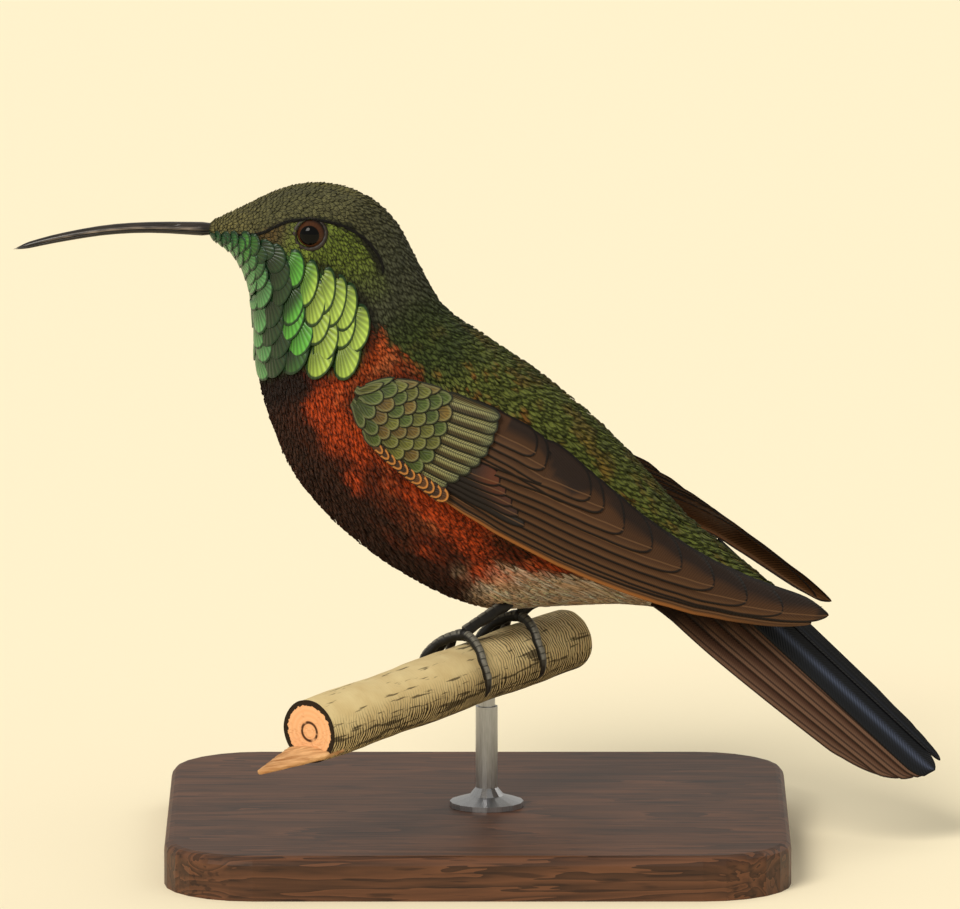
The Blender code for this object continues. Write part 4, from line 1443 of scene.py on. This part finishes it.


# Bill: horn sheaths, smooth and polished, near black with a soft highlight, and a painted highlight
# as a pale line along the cutting edge; a nostril slit and a groove on each side

billPlan = {
    "measured": 60,             # stations read from the solids
    "stations": 90,             # and made
    "sides": 28,
    "insideHead": 2.2,
    "nostril": (3.0, 5.8),      # millimetres from the root
    "nostrilDeep": 0.16,
    "grooveDeep": 0.10,         # of the bill's half width
    "gape": 0.40,               # of the bill's height
    "halfGap": 0.035,           # half the gap between the sheaths
    "point": 2.3,               # millimetres over which the tip draws to a point
    "worn": (13.0, 16.0, 19.0),  # the painted highlight's strength on the cutting edge, in red, green and blue
    "look": {"shader": {"Roughness": 0.3, "Specular IOR Level": 0.35, "Coat Weight": 0.2,
                        "Coat Roughness": 0.2},
             "size": 0.35, "stretch": (0.12, 1, 1), "dark": "070504", "pale": "2A211A", "bump": 0.25,
             "relief": 0.03, "tint": "horn"},
}


def measureBill():
    shape = nodeShape("bill_upper", "bill_lower")
    tree = BVHTree.FromBMesh(shape)
    xs = [v.co.x for v in shape.verts]
    shape.free()
    stations = np.linspace(max(xs) - 0.25, min(xs) + 0.15, billPlan["measured"])
    rows = []
    for x in stations:
        top = tree.ray_cast(Vector((x, 0, 100)), Vector((0, 0, -1)))[0].z
        foot = tree.ray_cast(Vector((x, 0, 50)), Vector((0, 0, 1)))[0].z
        sides = [tree.ray_cast(Vector((x, -20, foot + (top - foot) * share)), Vector((0, 1, 0)))[0]
                 for share in (0.25, 0.3, 0.7, 0.75)]
        rows.append((x, top, foot, max(abs(hit.y) for hit in sides if hit is not None)))
    return np.array(rows)


def buildBill():
    rows = measureBill()
    horn = grainMaterial("bill_horn_polished", billPlan["look"])
    x = np.linspace(rows[0, 0] + billPlan["insideHead"], rows[-1, 0], billPlan["stations"])[:, None]
    top, foot, wide = (np.interp(-x, -rows[:, 0], rows[:, k]) for k in (1, 2, 3))
    run = rows[0, 0] - x
    narrow = 1 - 0.25 * np.clip(-run, 0, None) / billPlan["insideHead"]   # inside the head
    left = np.clip((run[-1] - run) / billPlan["point"], 0, 1)
    narrow = narrow * np.maximum(1 - (1 - left) ** 1.8, 0.06)
    middle = foot + (top - foot) * 0.45
    top, foot = (middle + (edge - middle) * narrow for edge in (top, foot))
    wide = wide * narrow
    gape = foot + (top - foot) * billPlan["gape"]
    angle = np.linspace(0, math.pi, billPlan["sides"])[None]
    bulge = np.abs(np.sin(angle)) ** 0.8
    groove = billPlan["grooveDeep"] * wide * ramp(0, 1, run) * ramp(20, 8, run)
    y = (wide - groove * np.exp(-((np.abs(np.cos(angle)) - 0.8) / 0.1) ** 2)) * np.cos(angle)
    low, high = billPlan["nostril"]
    slit = ramp(low, low + 0.6, run) * ramp(high, high - 0.8, run)
    slit = billPlan["nostrilDeep"] * slit * np.exp(-((bulge - 0.55) / 0.14) ** 2)
    # painted highlight: a pale band on the upper sheath just above the cutting edge
    worn = np.exp(-((bulge - 0.22) / 0.16) ** 2) * ramp(-0.5, 1.5, run) * ramp(24, 14, run)
    worn = worn[..., None] * billPlan["worn"]
    gap = billPlan["halfGap"]
    for name, yHere, z, tint in (
            ("bill_upper", y - np.sign(y) * slit, gape + gap + (top - gape - gap) * bulge, 1 + worn),
            ("bill_lower", y, gape - gap - (gape - gap - foot) * bulge, 0.6 + 0 * worn)):
        shape = bmesh.new()
        shape.verts.layers.float_color.new("horn")
        loft(shape, np.stack([np.broadcast_to(x, z.shape), yHere, z], axis=-1), tint, "horn")
        newPiece(name + "_sheath", shape, horn, (name,))
    print("bill")


# Eyes: a wet, clear surface over a brown iris and black pupil, in a rim of dark bare lid

eyePlan = {
    "pupil": 33.0,        # degrees from the optical axis
    "irisEdge": (44.0, 56.0),   # where the iris darkens to its rim
    "tints": {"iris": ("24120A", "57351F"), "rim": "100805", "pupil": "030303"},
    "forward": 8.0,       # degrees the eye looks ahead of square
    "lidWide": 2.06,
    "lidHigh": 1.92,
    "lidThick": 0.25,
    "cornea": 0.05,       # how far it stands proud, of the eyeball's radius
    "lidRest": 0.75,      # least height over the eye's middle, and the bead's rise over that
    "lidRise": 0.08,
    "lid": {"shader": {"Roughness": 0.5, "Specular IOR Level": 0.4}, "size": 0.25, "dark": "0C0805",
            "pale": "2C2014", "bump": 0.5, "relief": 0.05},
}


def eyeMaterial():
    material, add = newMaterial(
        "eye_wet", {"Roughness": 0.03, "Specular IOR Level": 0.25, "IOR": 1.34})
    where = add("UVMap", {"uv_map": "iris"})
    out = add("SeparateXYZ", {0: where}, 1)
    out = add("Math MULTIPLY", {0: out, 1: 180.0})
    fine = add("Mapping", {"Vector": where, "Scale": (1.0, 0.06, 1.0)})
    streak = add("TexNoise", {"Vector": fine, "Scale": 60.0, "Detail": 2.0})
    pupil, tints = eyePlan["pupil"], eyePlan["tints"]
    dark, pale = (srgb(tint) for tint in tints["iris"])
    colour = add("Mix RGBA", {0: streak, 6: dark, 7: pale}, 2)
    for name, start, end in (("rim", *eyePlan["irisEdge"]), ("pupil", pupil + 1.5, pupil - 1.5)):
        share = add("MapRange", {"Value": out, "From Min": start, "From Max": end})
        colour = add("Mix RGBA", {0: share, 6: colour, 7: srgb(tints[name])}, 2)
    return linked(material, {"Base Color": colour})


def buildEyes(skinTree):
    wet, lid = eyeMaterial(), grainMaterial("eyelid_bare_skin", eyePlan["lid"])
    for side, sign in (("left", -1), ("right", 1)):
        middle, ball = eyeBall(side)
        turn = math.radians(eyePlan["forward"])
        axis = np.array([-math.sin(turn), sign * math.cos(turn), 0])
        over = np.array([0.0, 0.0, 1.0])
        level = np.cross(axis, over)
        shape = bmesh.new()
        bmesh.ops.create_uvsphere(shape, u_segments=64, v_segments=48, radius=ball)
        local = np.array([v.co for v in shape.verts])
        polar = np.degrees(np.arccos(np.clip(local[:, 2] / ball, -1, 1)))
        angle = np.arctan2(local[:, 1], local[:, 0])
        swell = 1 + eyePlan["cornea"] * ramp(50, 10, polar)
        world = axis * local[:, 2:] + level * local[:, :1] + over * local[:, 1:2]
        for v, point in zip(shape.verts, middle + world * swell[:, None]):
            v.co = point
        piece = newPiece("eyeball_" + side, shape, wet, ("eye_" + side,))
        addUv(piece.data, "iris", np.stack([np.abs(angle) / np.pi, polar / 180], axis=-1))
        rings = []
        bead = np.linspace(0, 2 * np.pi, 14, endpoint=False)[:, None]
        for t in np.linspace(0, 2 * np.pi, 72, endpoint=False):
            out = level * eyePlan["lidWide"] * math.cos(t) + over * eyePlan["lidHigh"] * math.sin(t)
            start = Vector(middle + out + axis * 8)
            skinHit = skinTree.ray_cast(start, Vector(-axis), 12)[0]
            height = 0.9 if skinHit is None else (np.array(skinHit) - middle) @ axis
            core = middle + out + axis * (max(height, eyePlan["lidRest"]) + eyePlan["lidRise"])
            thick = eyePlan["lidThick"] * (1 + 0.3 * max(0.0, math.sin(t)) + 0.08 * math.sin(17 * t))
            rings.append(core + unit(out) * np.cos(bead) * thick * 1.3 + axis * np.sin(bead) * thick)
        lidShape = bmesh.new()
        loft(lidShape, rings, closed=True)
        newPiece("eyelid_" + side, lidShape, lid)
    print("eyes")


# Feet: scaled toes that wrap the perch, and claws

perchPlan = {
    "middle": (2.8, 0.0, 25.15),
    "planAngle": 52.5,
    "riseAngle": 4.0,
    "near": 41.6,         # from its middle to the cut end nearer the viewer, and to the other
    "far": 16.4,
    "radius": 4.35,
}
footPlan = {
    "grip": {"left": -7.0, "right": 5.2},
    "hip": {"left": (6.4, -1.6, 35.4), "right": (12.4, 3.0, 36.2)},
    "tarsus": 0.76,
    "toe": 0.70,
    "gap": 0.3,          # between the branch and the toes, as in the solids
    "toeStops": 10,
    "front": (-26.0, 0.0, 26.0),
    "hind": (-24.0,),
    "frontWrap": 104.0,
    "hindWrap": 112.0,
    "scutes": 9,
    # girths down the claw, of the toe's
    "claw": (0.72, 0.74, 0.72, 0.68, 0.62, 0.55, 0.47, 0.38, 0.28, 0.17, 0.05),
    "clawLook": {"shader": {"Roughness": 0.3, "Specular IOR Level": 0.5}, "size": 0.25,
                 "dark": "0A0806", "pale": "2A251E", "bump": 0.2},
    "creases": ("0A0908", "1A1815"),
    "plates": ("403E38", "8A877C"),
}


perchMiddle = np.array(perchPlan["middle"])


def perchAxes():  # onward along the branch, up, and to the front
    plan, rise = math.radians(perchPlan["planAngle"]), math.radians(perchPlan["riseAngle"])
    level = math.cos(rise)
    onward = np.array([math.cos(plan) * level, math.sin(plan) * level, math.sin(rise)])
    up = unit(np.array([0, 0, 1.0]) - onward * onward[2])
    return onward, up, np.cross(up, onward)


def scaledTube(shape, path, radii, top, scutes, sides=16, step=5, marked=True):
    # a toe or shank: plates across its upper side, with a groove behind each
    path = np.array(path, float)
    dense = np.linspace(0, len(path) - 1, scutes * step * 2 + 1)
    middle = along(path, dense)
    ahead = unit(np.gradient(middle, axis=0))
    top = np.array([top(p) for p in middle]) if callable(top) else np.tile(top, (len(middle), 1))
    over = unit(top - (top * ahead).sum(axis=1, keepdims=True) * ahead)[:, None]
    side = np.cross(ahead, over[:, 0])[:, None]
    share = np.linspace(0, 1, len(middle))[:, None]
    phase = (share * scutes) % 1
    angle = 2 * np.pi * np.arange(sides)[None] / sides
    lift = np.maximum(0, np.cos(angle))
    plate = 0.09 * ramp(0, 0.25, phase) * ramp(1.0, 0.88, phase)
    plate = plate * ramp(0.0, 0.5, lift)
    pad = 1 + 0.10 * np.maximum(0, -np.cos(angle)) * np.sin(share * 7 * math.pi)
    size = (np.interp(dense, np.arange(len(radii)), radii)[:, None] * (1 + plate) * pad)[..., None]
    rings = middle[:, None] + over * np.cos(angle)[..., None] * size
    rings = rings + side * np.sin(angle)[..., None] * size * 0.92
    marks = np.stack(np.broadcast_arrays(lift, phase, share), axis=-1)
    loft(shape, rings, marks, "scute" if marked else "")


def footMaterial():  # horny scales: dry, faintly glossy plates with dark creases between them
    material, add = newMaterial(
        "foot_scales_horny_skin", {"Roughness": 0.5, "Specular IOR Level": 0.25})
    marks = add("Attribute", {"attribute_name": "scute"})
    lift = add("SeparateColor", {0: marks})
    phase = lift.node.outputs[1]
    place = add("TexCoord", {}, "Object")
    grain = add("TexNoise", {"Vector": place, "Scale": 1 / (0.3 * mm), "Detail": 3.0})
    onTop = add("MapRange", {"Value": lift, "From Min": 0.3, "From Max": 0.7})
    for start, end in ((0.0, 0.25), (1.0, 0.86)):
        here = add("MapRange", {"Value": phase, "From Min": start, "From Max": end})
        onTop = add("Math MULTIPLY", {0: onTop, 1: here})
    tones = []
    for low, high in (footPlan["creases"], footPlan["plates"]):
        tones.append(add("Mix RGBA", {0: grain, 6: srgb(low), 7: srgb(high)}, 2))
    colour = add("Mix RGBA", {0: onTop, 6: tones[0], 7: tones[1]}, 2)
    bump = add("Bump", {"Height": grain, "Strength": 0.4, "Distance": 0.05 * mm})
    return linked(material, {"Base Color": colour, "Normal": bump})


def toeCurve(side, splay, wrap, way, reach, first, last):  # first and last: shares of the wrap
    onward, up, front = perchAxes()
    grip, stops = footPlan["grip"][side], footPlan["toeStops"]
    points = []
    for i in range(stops + 1):
        degrees = wrap * (first + (last - first) * i / stops)
        slide = math.tan(math.radians(splay)) * reach * math.radians(min(degrees, 60.0))
        angle = math.radians(degrees)
        out = up * math.cos(angle) + front * way * math.sin(angle)
        points.append(perchMiddle + onward * (grip + slide) + out * reach)
    return points


def buildFeet():
    onward, up, front = perchAxes()
    scaly, horn = footMaterial(), grainMaterial("claw_horn", footPlan["clawLook"])

    def away(point):   # square out from the perch's axis
        offset = point - perchMiddle
        return unit(offset - onward * (offset @ onward))

    for side in ("left", "right"):
        soleLine = perchPlan["radius"] + footPlan["gap"]
        reach = soleLine + footPlan["toe"] * 1.1 + 0.15
        ankle = (perchMiddle + onward * footPlan["grip"][side]
                 + up * (soleLine + footPlan["toe"] + 0.75))
        shape, claws = bmesh.new(), bmesh.new()
        layer = shape.verts.layers.float_color.new("scute")
        hip = np.array(footPlan["hip"][side])
        shank = [hip + (ankle - hip) * t for t in np.linspace(0, 1.0, 6)]
        girth = [footPlan["tarsus"] * (1.15 - 0.15 * t) for t in np.linspace(0, 1, 6)]
        scaledTube(shape, shank, girth, front + up, 8)
        joint = bmesh.ops.create_uvsphere(shape, u_segments=20, v_segments=14,
                                          radius=footPlan["toe"] + 0.22)
        for v in joint["verts"]:
            v.co = Vector(ankle - up * 0.45) + v.co
            v[layer] = (0.2, 0.5, 0.5, 1.0)
        for splays, wrap, way in ((footPlan["front"], footPlan["frontWrap"], 1),
                                  (footPlan["hind"], footPlan["hindWrap"], -1)):
            for splay in splays:
                toe = toeCurve(side, splay, wrap, way, reach, 0.0, 0.74)
                radii = [footPlan["toe"] * (1.0 - 0.22 * t) for t in np.linspace(0, 1, len(toe))]
                scaledTube(shape, toe, radii, away, footPlan["scutes"])
                claw = toeCurve(side, splay, wrap, way, reach, 0.70, 1.0)
                claw = [point - away(point) * (0.35 * max(0, i - 6) / 4)
                        for i, point in enumerate(claw)]
                sizes = [footPlan["toe"] * size for size in footPlan["claw"]]
                scaledTube(claws, claw, sizes, away, 1, step=12, marked=False)
        newPiece("foot_%s_scaled" % side, shape, scaly,
                 ("foot_" + side, "leg_" + side))
        newPiece("claws_" + side, claws, horn)
    print("feet")


# Perch: a cut branch, bark over pale wood, a splinter left at the cut

perchLook = {
    "barkPale": "EEDCA8",
    "barkMid": "CDB27C",
    "barkDark": "241808",
    "wood": "EDB382",
    "woodDark": "D08C50",
    "woodHeart": "4A2C16",
    "around": 128,
    "stations": 210,
    "barkThick": 0.55,
    "ridges": 24,
    "ridgeHigh": 0.10,
    "ridgeLong": 2.4,
    "splinterWide": 3.4,
    "splinterThick": 1.6,
    "splinterReach": 6.6,
    "splinterFront": 3.4,
    "splinterDrop": 1.6,
    "splinterInside": 3.0,
    # cells to a millimetre: a slow wander of 3 mm, marks 0.4 mm wide and 1.8 mm long across the
    # branch, cracks 0.6 mm wide and 5.6 mm long down it, and a fray of 0.5 mm where the bark ends
    "wander": 0.35,
    "marks": (2.6, 0.55, 0.55),
    "cracks": (0.18, 1.6, 1.6),
    "fray": 2.2,
    # radians to a millimetre: lines across 0.5 mm apart, year rings 0.7 mm apart
    "lines": 12.0,
    "years": 9.0,
    "heart": 1.25,       # radius of the dark ring round the pith
}


def perchPoint(s, angle, radius):
    onward, up, front = perchAxes()
    s, angle, radius = np.broadcast_arrays(s, angle, radius)
    return (perchMiddle + onward * s[..., None]
            + (up * np.cos(angle)[..., None] + front * np.sin(angle)[..., None]) * radius[..., None])


def buildPerch():
    around, ridges = perchLook["around"], perchLook["ridges"]
    angles = 2 * np.pi * np.arange(around) / around
    stops = np.linspace(-perchPlan["near"], perchPlan["far"], perchLook["stations"])
    field = np.random.default_rng(5).random((40, ridges))

    def bark(s, angle):
        v = angle / (2 * np.pi) * ridges + 0.6 * np.sin(s * 0.2)
        return latticeNoise(field, (s + 50) / perchLook["ridgeLong"], v)

    def cut(s, size, way):   # a sawn end, slightly dished
        return [perchPoint(s + 0.10 * (1 - share) * way, angles,
                           perchPlan["radius"] * size * share * (1 + 0.01 * np.sin(5 * angles)))
                for share in (0.985, 0.94, 0.85, 0.7, 0.52, 0.34, 0.16)]

    rings = cut(stops[0], 1, 1)[::-1]
    for s in stops:
        base = perchPlan["radius"] * (1 + 0.02 * math.sin(s * 0.31))
        base = base * (1 + 0.015 * np.sin(3 * angles + s * 0.1))
        worn = max(0.0, s - (perchPlan["far"] - 1.6)) / 1.6
        radius = base - 0.06 + perchLook["ridgeHigh"] * (bark(np.full(around, s), angles) - 0.6)
        rings.append(perchPoint(s, angles, radius - 1.1 * (1 - math.sqrt(max(0.0, 1 - worn**2)))))
    shape = bmesh.new()
    loft(shape, rings + cut(stops[-1], 0.74, -1))
    newPiece("perch_bark", shape, perchMaterial(), ("perch_branch",))
    buildSplinter()
    print("perch")


def buildSplinter():
    onward, up, front = perchAxes()
    inside = perchLook["splinterInside"]
    start = (perchMiddle - onward * (perchPlan["near"] - inside)
             - up * (perchPlan["radius"] - perchLook["splinterThick"] + 0.1))
    pick = np.random.default_rng(8)
    t = np.linspace(0, 2 * np.pi, 24, endpoint=False)[:, None]
    rings = []
    for share in np.linspace(0, 1, 26):
        beyond = max(0.0, share - 0.33) / 0.67
        narrow = 1 - 0.88 * beyond**1.1
        middle = (start - onward * (inside + perchLook["splinterReach"]) * share
                  + front * perchLook["splinterFront"] * beyond
                  - up * perchLook["splinterDrop"] * beyond)
        rough = 1 + 0.05 * np.sin(5 * t) + 0.03 * pick.normal(0, 1, t.shape)
        thick = perchLook["splinterThick"] * (0.35 + 0.65 * narrow) / 2
        rings.append(middle + front * perchLook["splinterWide"] * narrow * np.cos(t) * rough
                     + up * thick * np.sign(np.sin(t)) * np.abs(np.sin(t)) ** 0.8 * rough)
    shape = bmesh.new()
    loft(shape, rings)
    # split wood: dry, pale and fibrous, with torn fibres along it
    split = grainMaterial("branch_split_wood", {
        "shader": {"Roughness": 0.8, "Specular IOR Level": 0.2}, "size": 0.7, "stretch": (0.1, 1, 1),
        "turn": -math.atan2(onward[1], onward[0]), "dark": "9E6A3C", "pale": "E4B480", "bump": 0.6,
        "relief": 0.15})
    newPiece("perch_splinter", shape, split)


def perchMaterial():  # dry thin bark, dull, cracked across; sawn wood with year rings at the ends
    material, add = newMaterial(
        "branch_bark_and_sawn_wood", {"Roughness": 0.8, "Specular IOR Level": 0.25})
    place = add("TexCoord", {}, "Object")
    centre = perchMiddle * mm
    own = []
    for axis in perchAxes():   # millimetres along the branch, up and to the front
        reach = add("VectorMath DOT_PRODUCT", {0: place, 1: tuple(axis)}, "Value")
        own.append(add("Math MULTIPLY_ADD", {0: reach, 1: 1 / mm, 2: -float(centre @ axis) / mm}))
    s, u, f = own
    own = add("CombineXYZ", {"X": s, "Y": u, "Z": f})
    flat = add("CombineXYZ", {"Y": u, "Z": f})
    radius = add("VectorMath LENGTH", {0: flat}, "Value")
    wander = add("TexNoise", {"Vector": own, "Scale": perchLook["wander"], "Detail": 3.0})
    noises = []
    for stretch in (perchLook["marks"], perchLook["cracks"]):
        lying = add("Mapping", {"Vector": own, "Scale": stretch})
        noises.append(add("TexNoise", {"Vector": lying, "Scale": 1.0, "Detail": 3.0}))
    swung = add("Math MULTIPLY", {0: wander, 1: 22.0})
    swung = add("Math MULTIPLY_ADD", {0: s, 1: perchLook["lines"], 2: swung})
    rings = add("Math SINE", {0: swung})
    # lower rises from the top to the underside: painted shade, a darker bark tone, denser marks and
    # more cracks
    lower = add("MapRange", {"Value": u, "From Min": 2.4, "From Max": -1.2})
    farEnd = add("MapRange", {"Value": s, "From Min": -9.0, "From Max": -1.0, "To Max": 0.75})
    dense = add("Math MAXIMUM", {0: lower, 1: farEnd})
    line = add("Math ADD", {0: rings, 1: dense})
    line = add("MapRange", {"Value": line, "From Min": 0.55, "From Max": 1.2})
    broken = add("MapRange", {"Value": noises[0], "From Min": 0.28, "From Max": 0.46})
    amount = add("MapRange", {"Value": dense, "To Min": 0.05, "To Max": 1.0})
    mark = add("Math MULTIPLY", {0: line, 1: broken})
    mark = add("Math MULTIPLY", {0: mark, 1: amount})
    crack = add("Math MULTIPLY_ADD", {0: lower, 1: 0.09, 2: noises[1]})
    crack = add("MapRange", {"Value": crack, "From Min": 0.62, "From Max": 0.67, "To Max": 0.75})
    colour = add("Mix RGBA", {0: wander, 6: srgb(perchLook["barkMid"]),
                              7: srgb(perchLook["barkPale"])}, 2)
    # painted shade: the underside turns toward the darker bark tone
    shade = add("Math MULTIPLY", {0: lower, 1: 0.5})
    for share, tint in ((shade, "barkMid"), (mark, "barkDark"), (crack, "barkDark")):
        colour = add("Mix RGBA", {0: share, 6: colour, 7: srgb(perchLook[tint])}, 2)
    year = add("Math MULTIPLY_ADD", {0: radius, 1: perchLook["years"], 2: wander})
    year = add("Math SINE", {0: year})
    year = add("MapRange", {"Value": year, "From Min": -1.0, "To Max": 0.25})
    heart = add("Math SUBTRACT", {0: radius, 1: perchLook["heart"]})
    heart = add("Math ABSOLUTE", {0: heart})
    heart = add("MapRange", {"Value": heart, "From Min": 0.26, "From Max": 0.12})
    heart = add("Math MULTIPLY", {0: heart, 1: broken})
    sawn = srgb(perchLook["wood"])
    for share, tint in ((year, "woodDark"), (heart, "woodHeart")):
        sawn = add("Mix RGBA", {0: share, 6: sawn, 7: srgb(perchLook[tint])}, 2)
    long = (perchPlan["near"] + perchPlan["far"]) / 2
    inEnd = add("Math ADD", {0: s, 1: perchPlan["near"] - long})
    inEnd = add("Math ABSOLUTE", {0: inEnd})
    inEnd = add("Math GREATER_THAN", {0: inEnd, 1: long - 0.16})
    fray = add("TexNoise", {"Vector": own, "Scale": perchLook["fray"], "Detail": 2.0})
    fray = add("Math MULTIPLY_ADD", {0: fray, 1: 0.6, 2: radius})
    inWood = add("Math LESS_THAN", {0: fray, 1: perchPlan["radius"] + 0.1 - perchLook["barkThick"]})
    inWood = add("Math MULTIPLY", {0: inWood, 1: inEnd})
    onRim = add("Mix RGBA", {0: inEnd, 6: colour, 7: srgb(perchLook["barkDark"])}, 2)
    colour = add("Mix RGBA", {0: inWood, 6: onRim, 7: sawn}, 2)
    relief = add("Math ADD", {0: mark, 1: crack})
    bump = add("Bump", {"Height": relief, "invert": True, "Strength": 0.6, "Distance": 0.12 * mm})
    return linked(material, {"Base Color": colour, "Normal": bump})


# Stand: oiled walnut, satin with dark pores along the grain, and brushed steel, a soft streaked
# gloss, on the frame's own solids

standLook = {
    "wood": ("3A2416", "66412A", "20120A"),
    "steel": ("8E9094", "C8C9CC"),
    "grainWidth": 6.0,
    "poreWidth": 0.7,
    "brushWidth": 0.12,
    "tenonRadius": 1.15,
    "tenonLong": 2.4,
    "tenonUp": 0.9,      # of its middle over the rod's end
}


def walnut():
    material, add = newMaterial("walnut_oiled", {"Roughness": 0.5, "Specular IOR Level": 0.3})
    dark, pale, pore = (srgb(tint) for tint in standLook["wood"])
    place = add("TexCoord", {}, "Object")
    longer = add("Mapping", {"Vector": place, "Scale": (0.07, 1.0, 1.0)})
    broad = add("TexNoise", {"Vector": longer, "Scale": 1 / (standLook["grainWidth"] * mm),
                             "Detail": 4.0, "Distortion": 0.8})
    pores = add("TexNoise", {"Vector": longer, "Scale": 1 / (standLook["poreWidth"] * mm),
                             "Detail": 2.0})
    grain = add("Math MULTIPLY", {0: broad, 1: 9.0})
    grain = add("Math FRACT", {0: grain})
    pit = add("MapRange", {"Value": pores, "From Min": 0.58, "From Max": 0.66, "To Max": 0.6})
    colour = add("Mix RGBA", {0: grain, 6: dark, 7: pale}, 2)
    colour = add("Mix RGBA", {0: pit, 6: colour, 7: pore}, 2)
    bump = add("Bump", {"Height": pores, "Strength": 0.3, "Distance": 0.06 * mm})
    return linked(material, {"Base Color": colour, "Normal": bump})


def brushedSteel():
    material, add = newMaterial("steel_brushed", {"Metallic": 1.0, "Roughness": 0.32})
    place = add("TexCoord", {}, "Object")
    fine = add("Mapping", {"Vector": place, "Scale": (1.0, 1.0, 0.06)})
    brush = add("TexNoise", {"Vector": fine, "Scale": 1 / (standLook["brushWidth"] * mm),
                             "Detail": 2.0})
    dark, pale = (srgb(tint) for tint in standLook["steel"])
    colour = add("Mix RGBA", {0: brush, 6: dark, 7: pale}, 2)
    rough = add("MapRange", {"Value": brush, "To Min": 0.24, "To Max": 0.42})
    return linked(material, {"Base Color": colour, "Roughness": rough})


def addTenon(steel):  # the rod's end, turned down thinner and let into the branch
    rod = nodeShape("stand_rod")
    top = max(v.co.z for v in rod.verts)
    rim = [v.co.copy() for v in rod.verts if v.co.z > top - 0.01]
    rod.free()
    middle = sum(rim, Vector()) / len(rim) + Vector((0, 0, standLook["tenonUp"]))
    radius = standLook["tenonRadius"]
    shape = bmesh.new()
    bmesh.ops.create_cone(shape, cap_ends=True, segments=40, radius1=radius, radius2=radius,
                          depth=standLook["tenonLong"])
    bmesh.ops.translate(shape, verts=shape.verts, vec=middle)
    newPiece("stand_rod_tenon", shape, steel, smooth=False)


def finishStand():
    steel = brushedSteel()
    for name, material in (("stand_base", walnut()), ("stand_rod", steel)):
        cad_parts[name].material_slots[0].material = material
    addTenon(steel)
    print("stand")


# Room: cream floor and backdrop, one large soft light from the upper left front, a small one for
# the glint in the eye and a weak one from behind

room = {
    "floor": "FFF4D6",
    "sky": "FFFBF2",
    "skyStrength": 0.57,
    "lights": {   # where from, strength, angular size in degrees, colour
        "key": ((-0.45, -0.80, 0.75), 1.9, 24, "FFF8EC"),
        "catch": ((-0.58, -0.66, 0.50), 0.22, 11, "FFFFFF"),
        "rim": ((0.50, 0.60, 0.55), 0.25, 30, "FFFAF0"),
    },
}


def makeRoom():
    scene = bpy.context.scene
    scene.view_settings.view_transform = "Standard"
    world = bpy.data.worlds.new("cream_room")
    scene.world = world
    world.use_nodes = True
    background = world.node_tree.nodes["Background"]
    background.inputs["Color"].default_value = (*srgb(room["sky"]), 1)
    background.inputs["Strength"].default_value = room["skyStrength"]
    sheet = bmesh.new()
    bmesh.ops.create_grid(sheet, x_segments=4, y_segments=4, size=6.0)
    mesh = bpy.data.meshes.new("floor")
    sheet.to_mesh(mesh)
    sheet.free()
    floor = bpy.data.objects.new("floor", mesh)
    scene.collection.objects.link(floor)
    paint = newMaterial("floor_matt_paint", {
        "Base Color": (*srgb(room["floor"]), 1), "Roughness": 1.0, "Specular IOR Level": 0.0})[0]
    mesh.materials.append(paint)
    for name, (place, strength, size, tint) in room["lights"].items():
        data = bpy.data.lights.new(name, "SUN")
        data.energy = strength
        data.angle = math.radians(size)
        data.color = srgb(tint)
        light = bpy.data.objects.new(name, data)
        light.location = place
        light.rotation_euler = (-Vector(place)).to_track_quat("-Z", "Y").to_euler()
        scene.collection.objects.link(light)
    print("room and lights")


finishes = {name: featherMaterial(name + "_feathers_keratin", look)
            for name, look in featherLooks.items()}
skinTree = buildSkin()
layPlumage()
layGorget()
layEyeLine()
for side in ("left", "right"):
    buildWing(side)
    buildTail(side)
buildBill()
buildEyes(skinTree)
buildFeet()
buildPerch()
finishStand()
makeRoom()
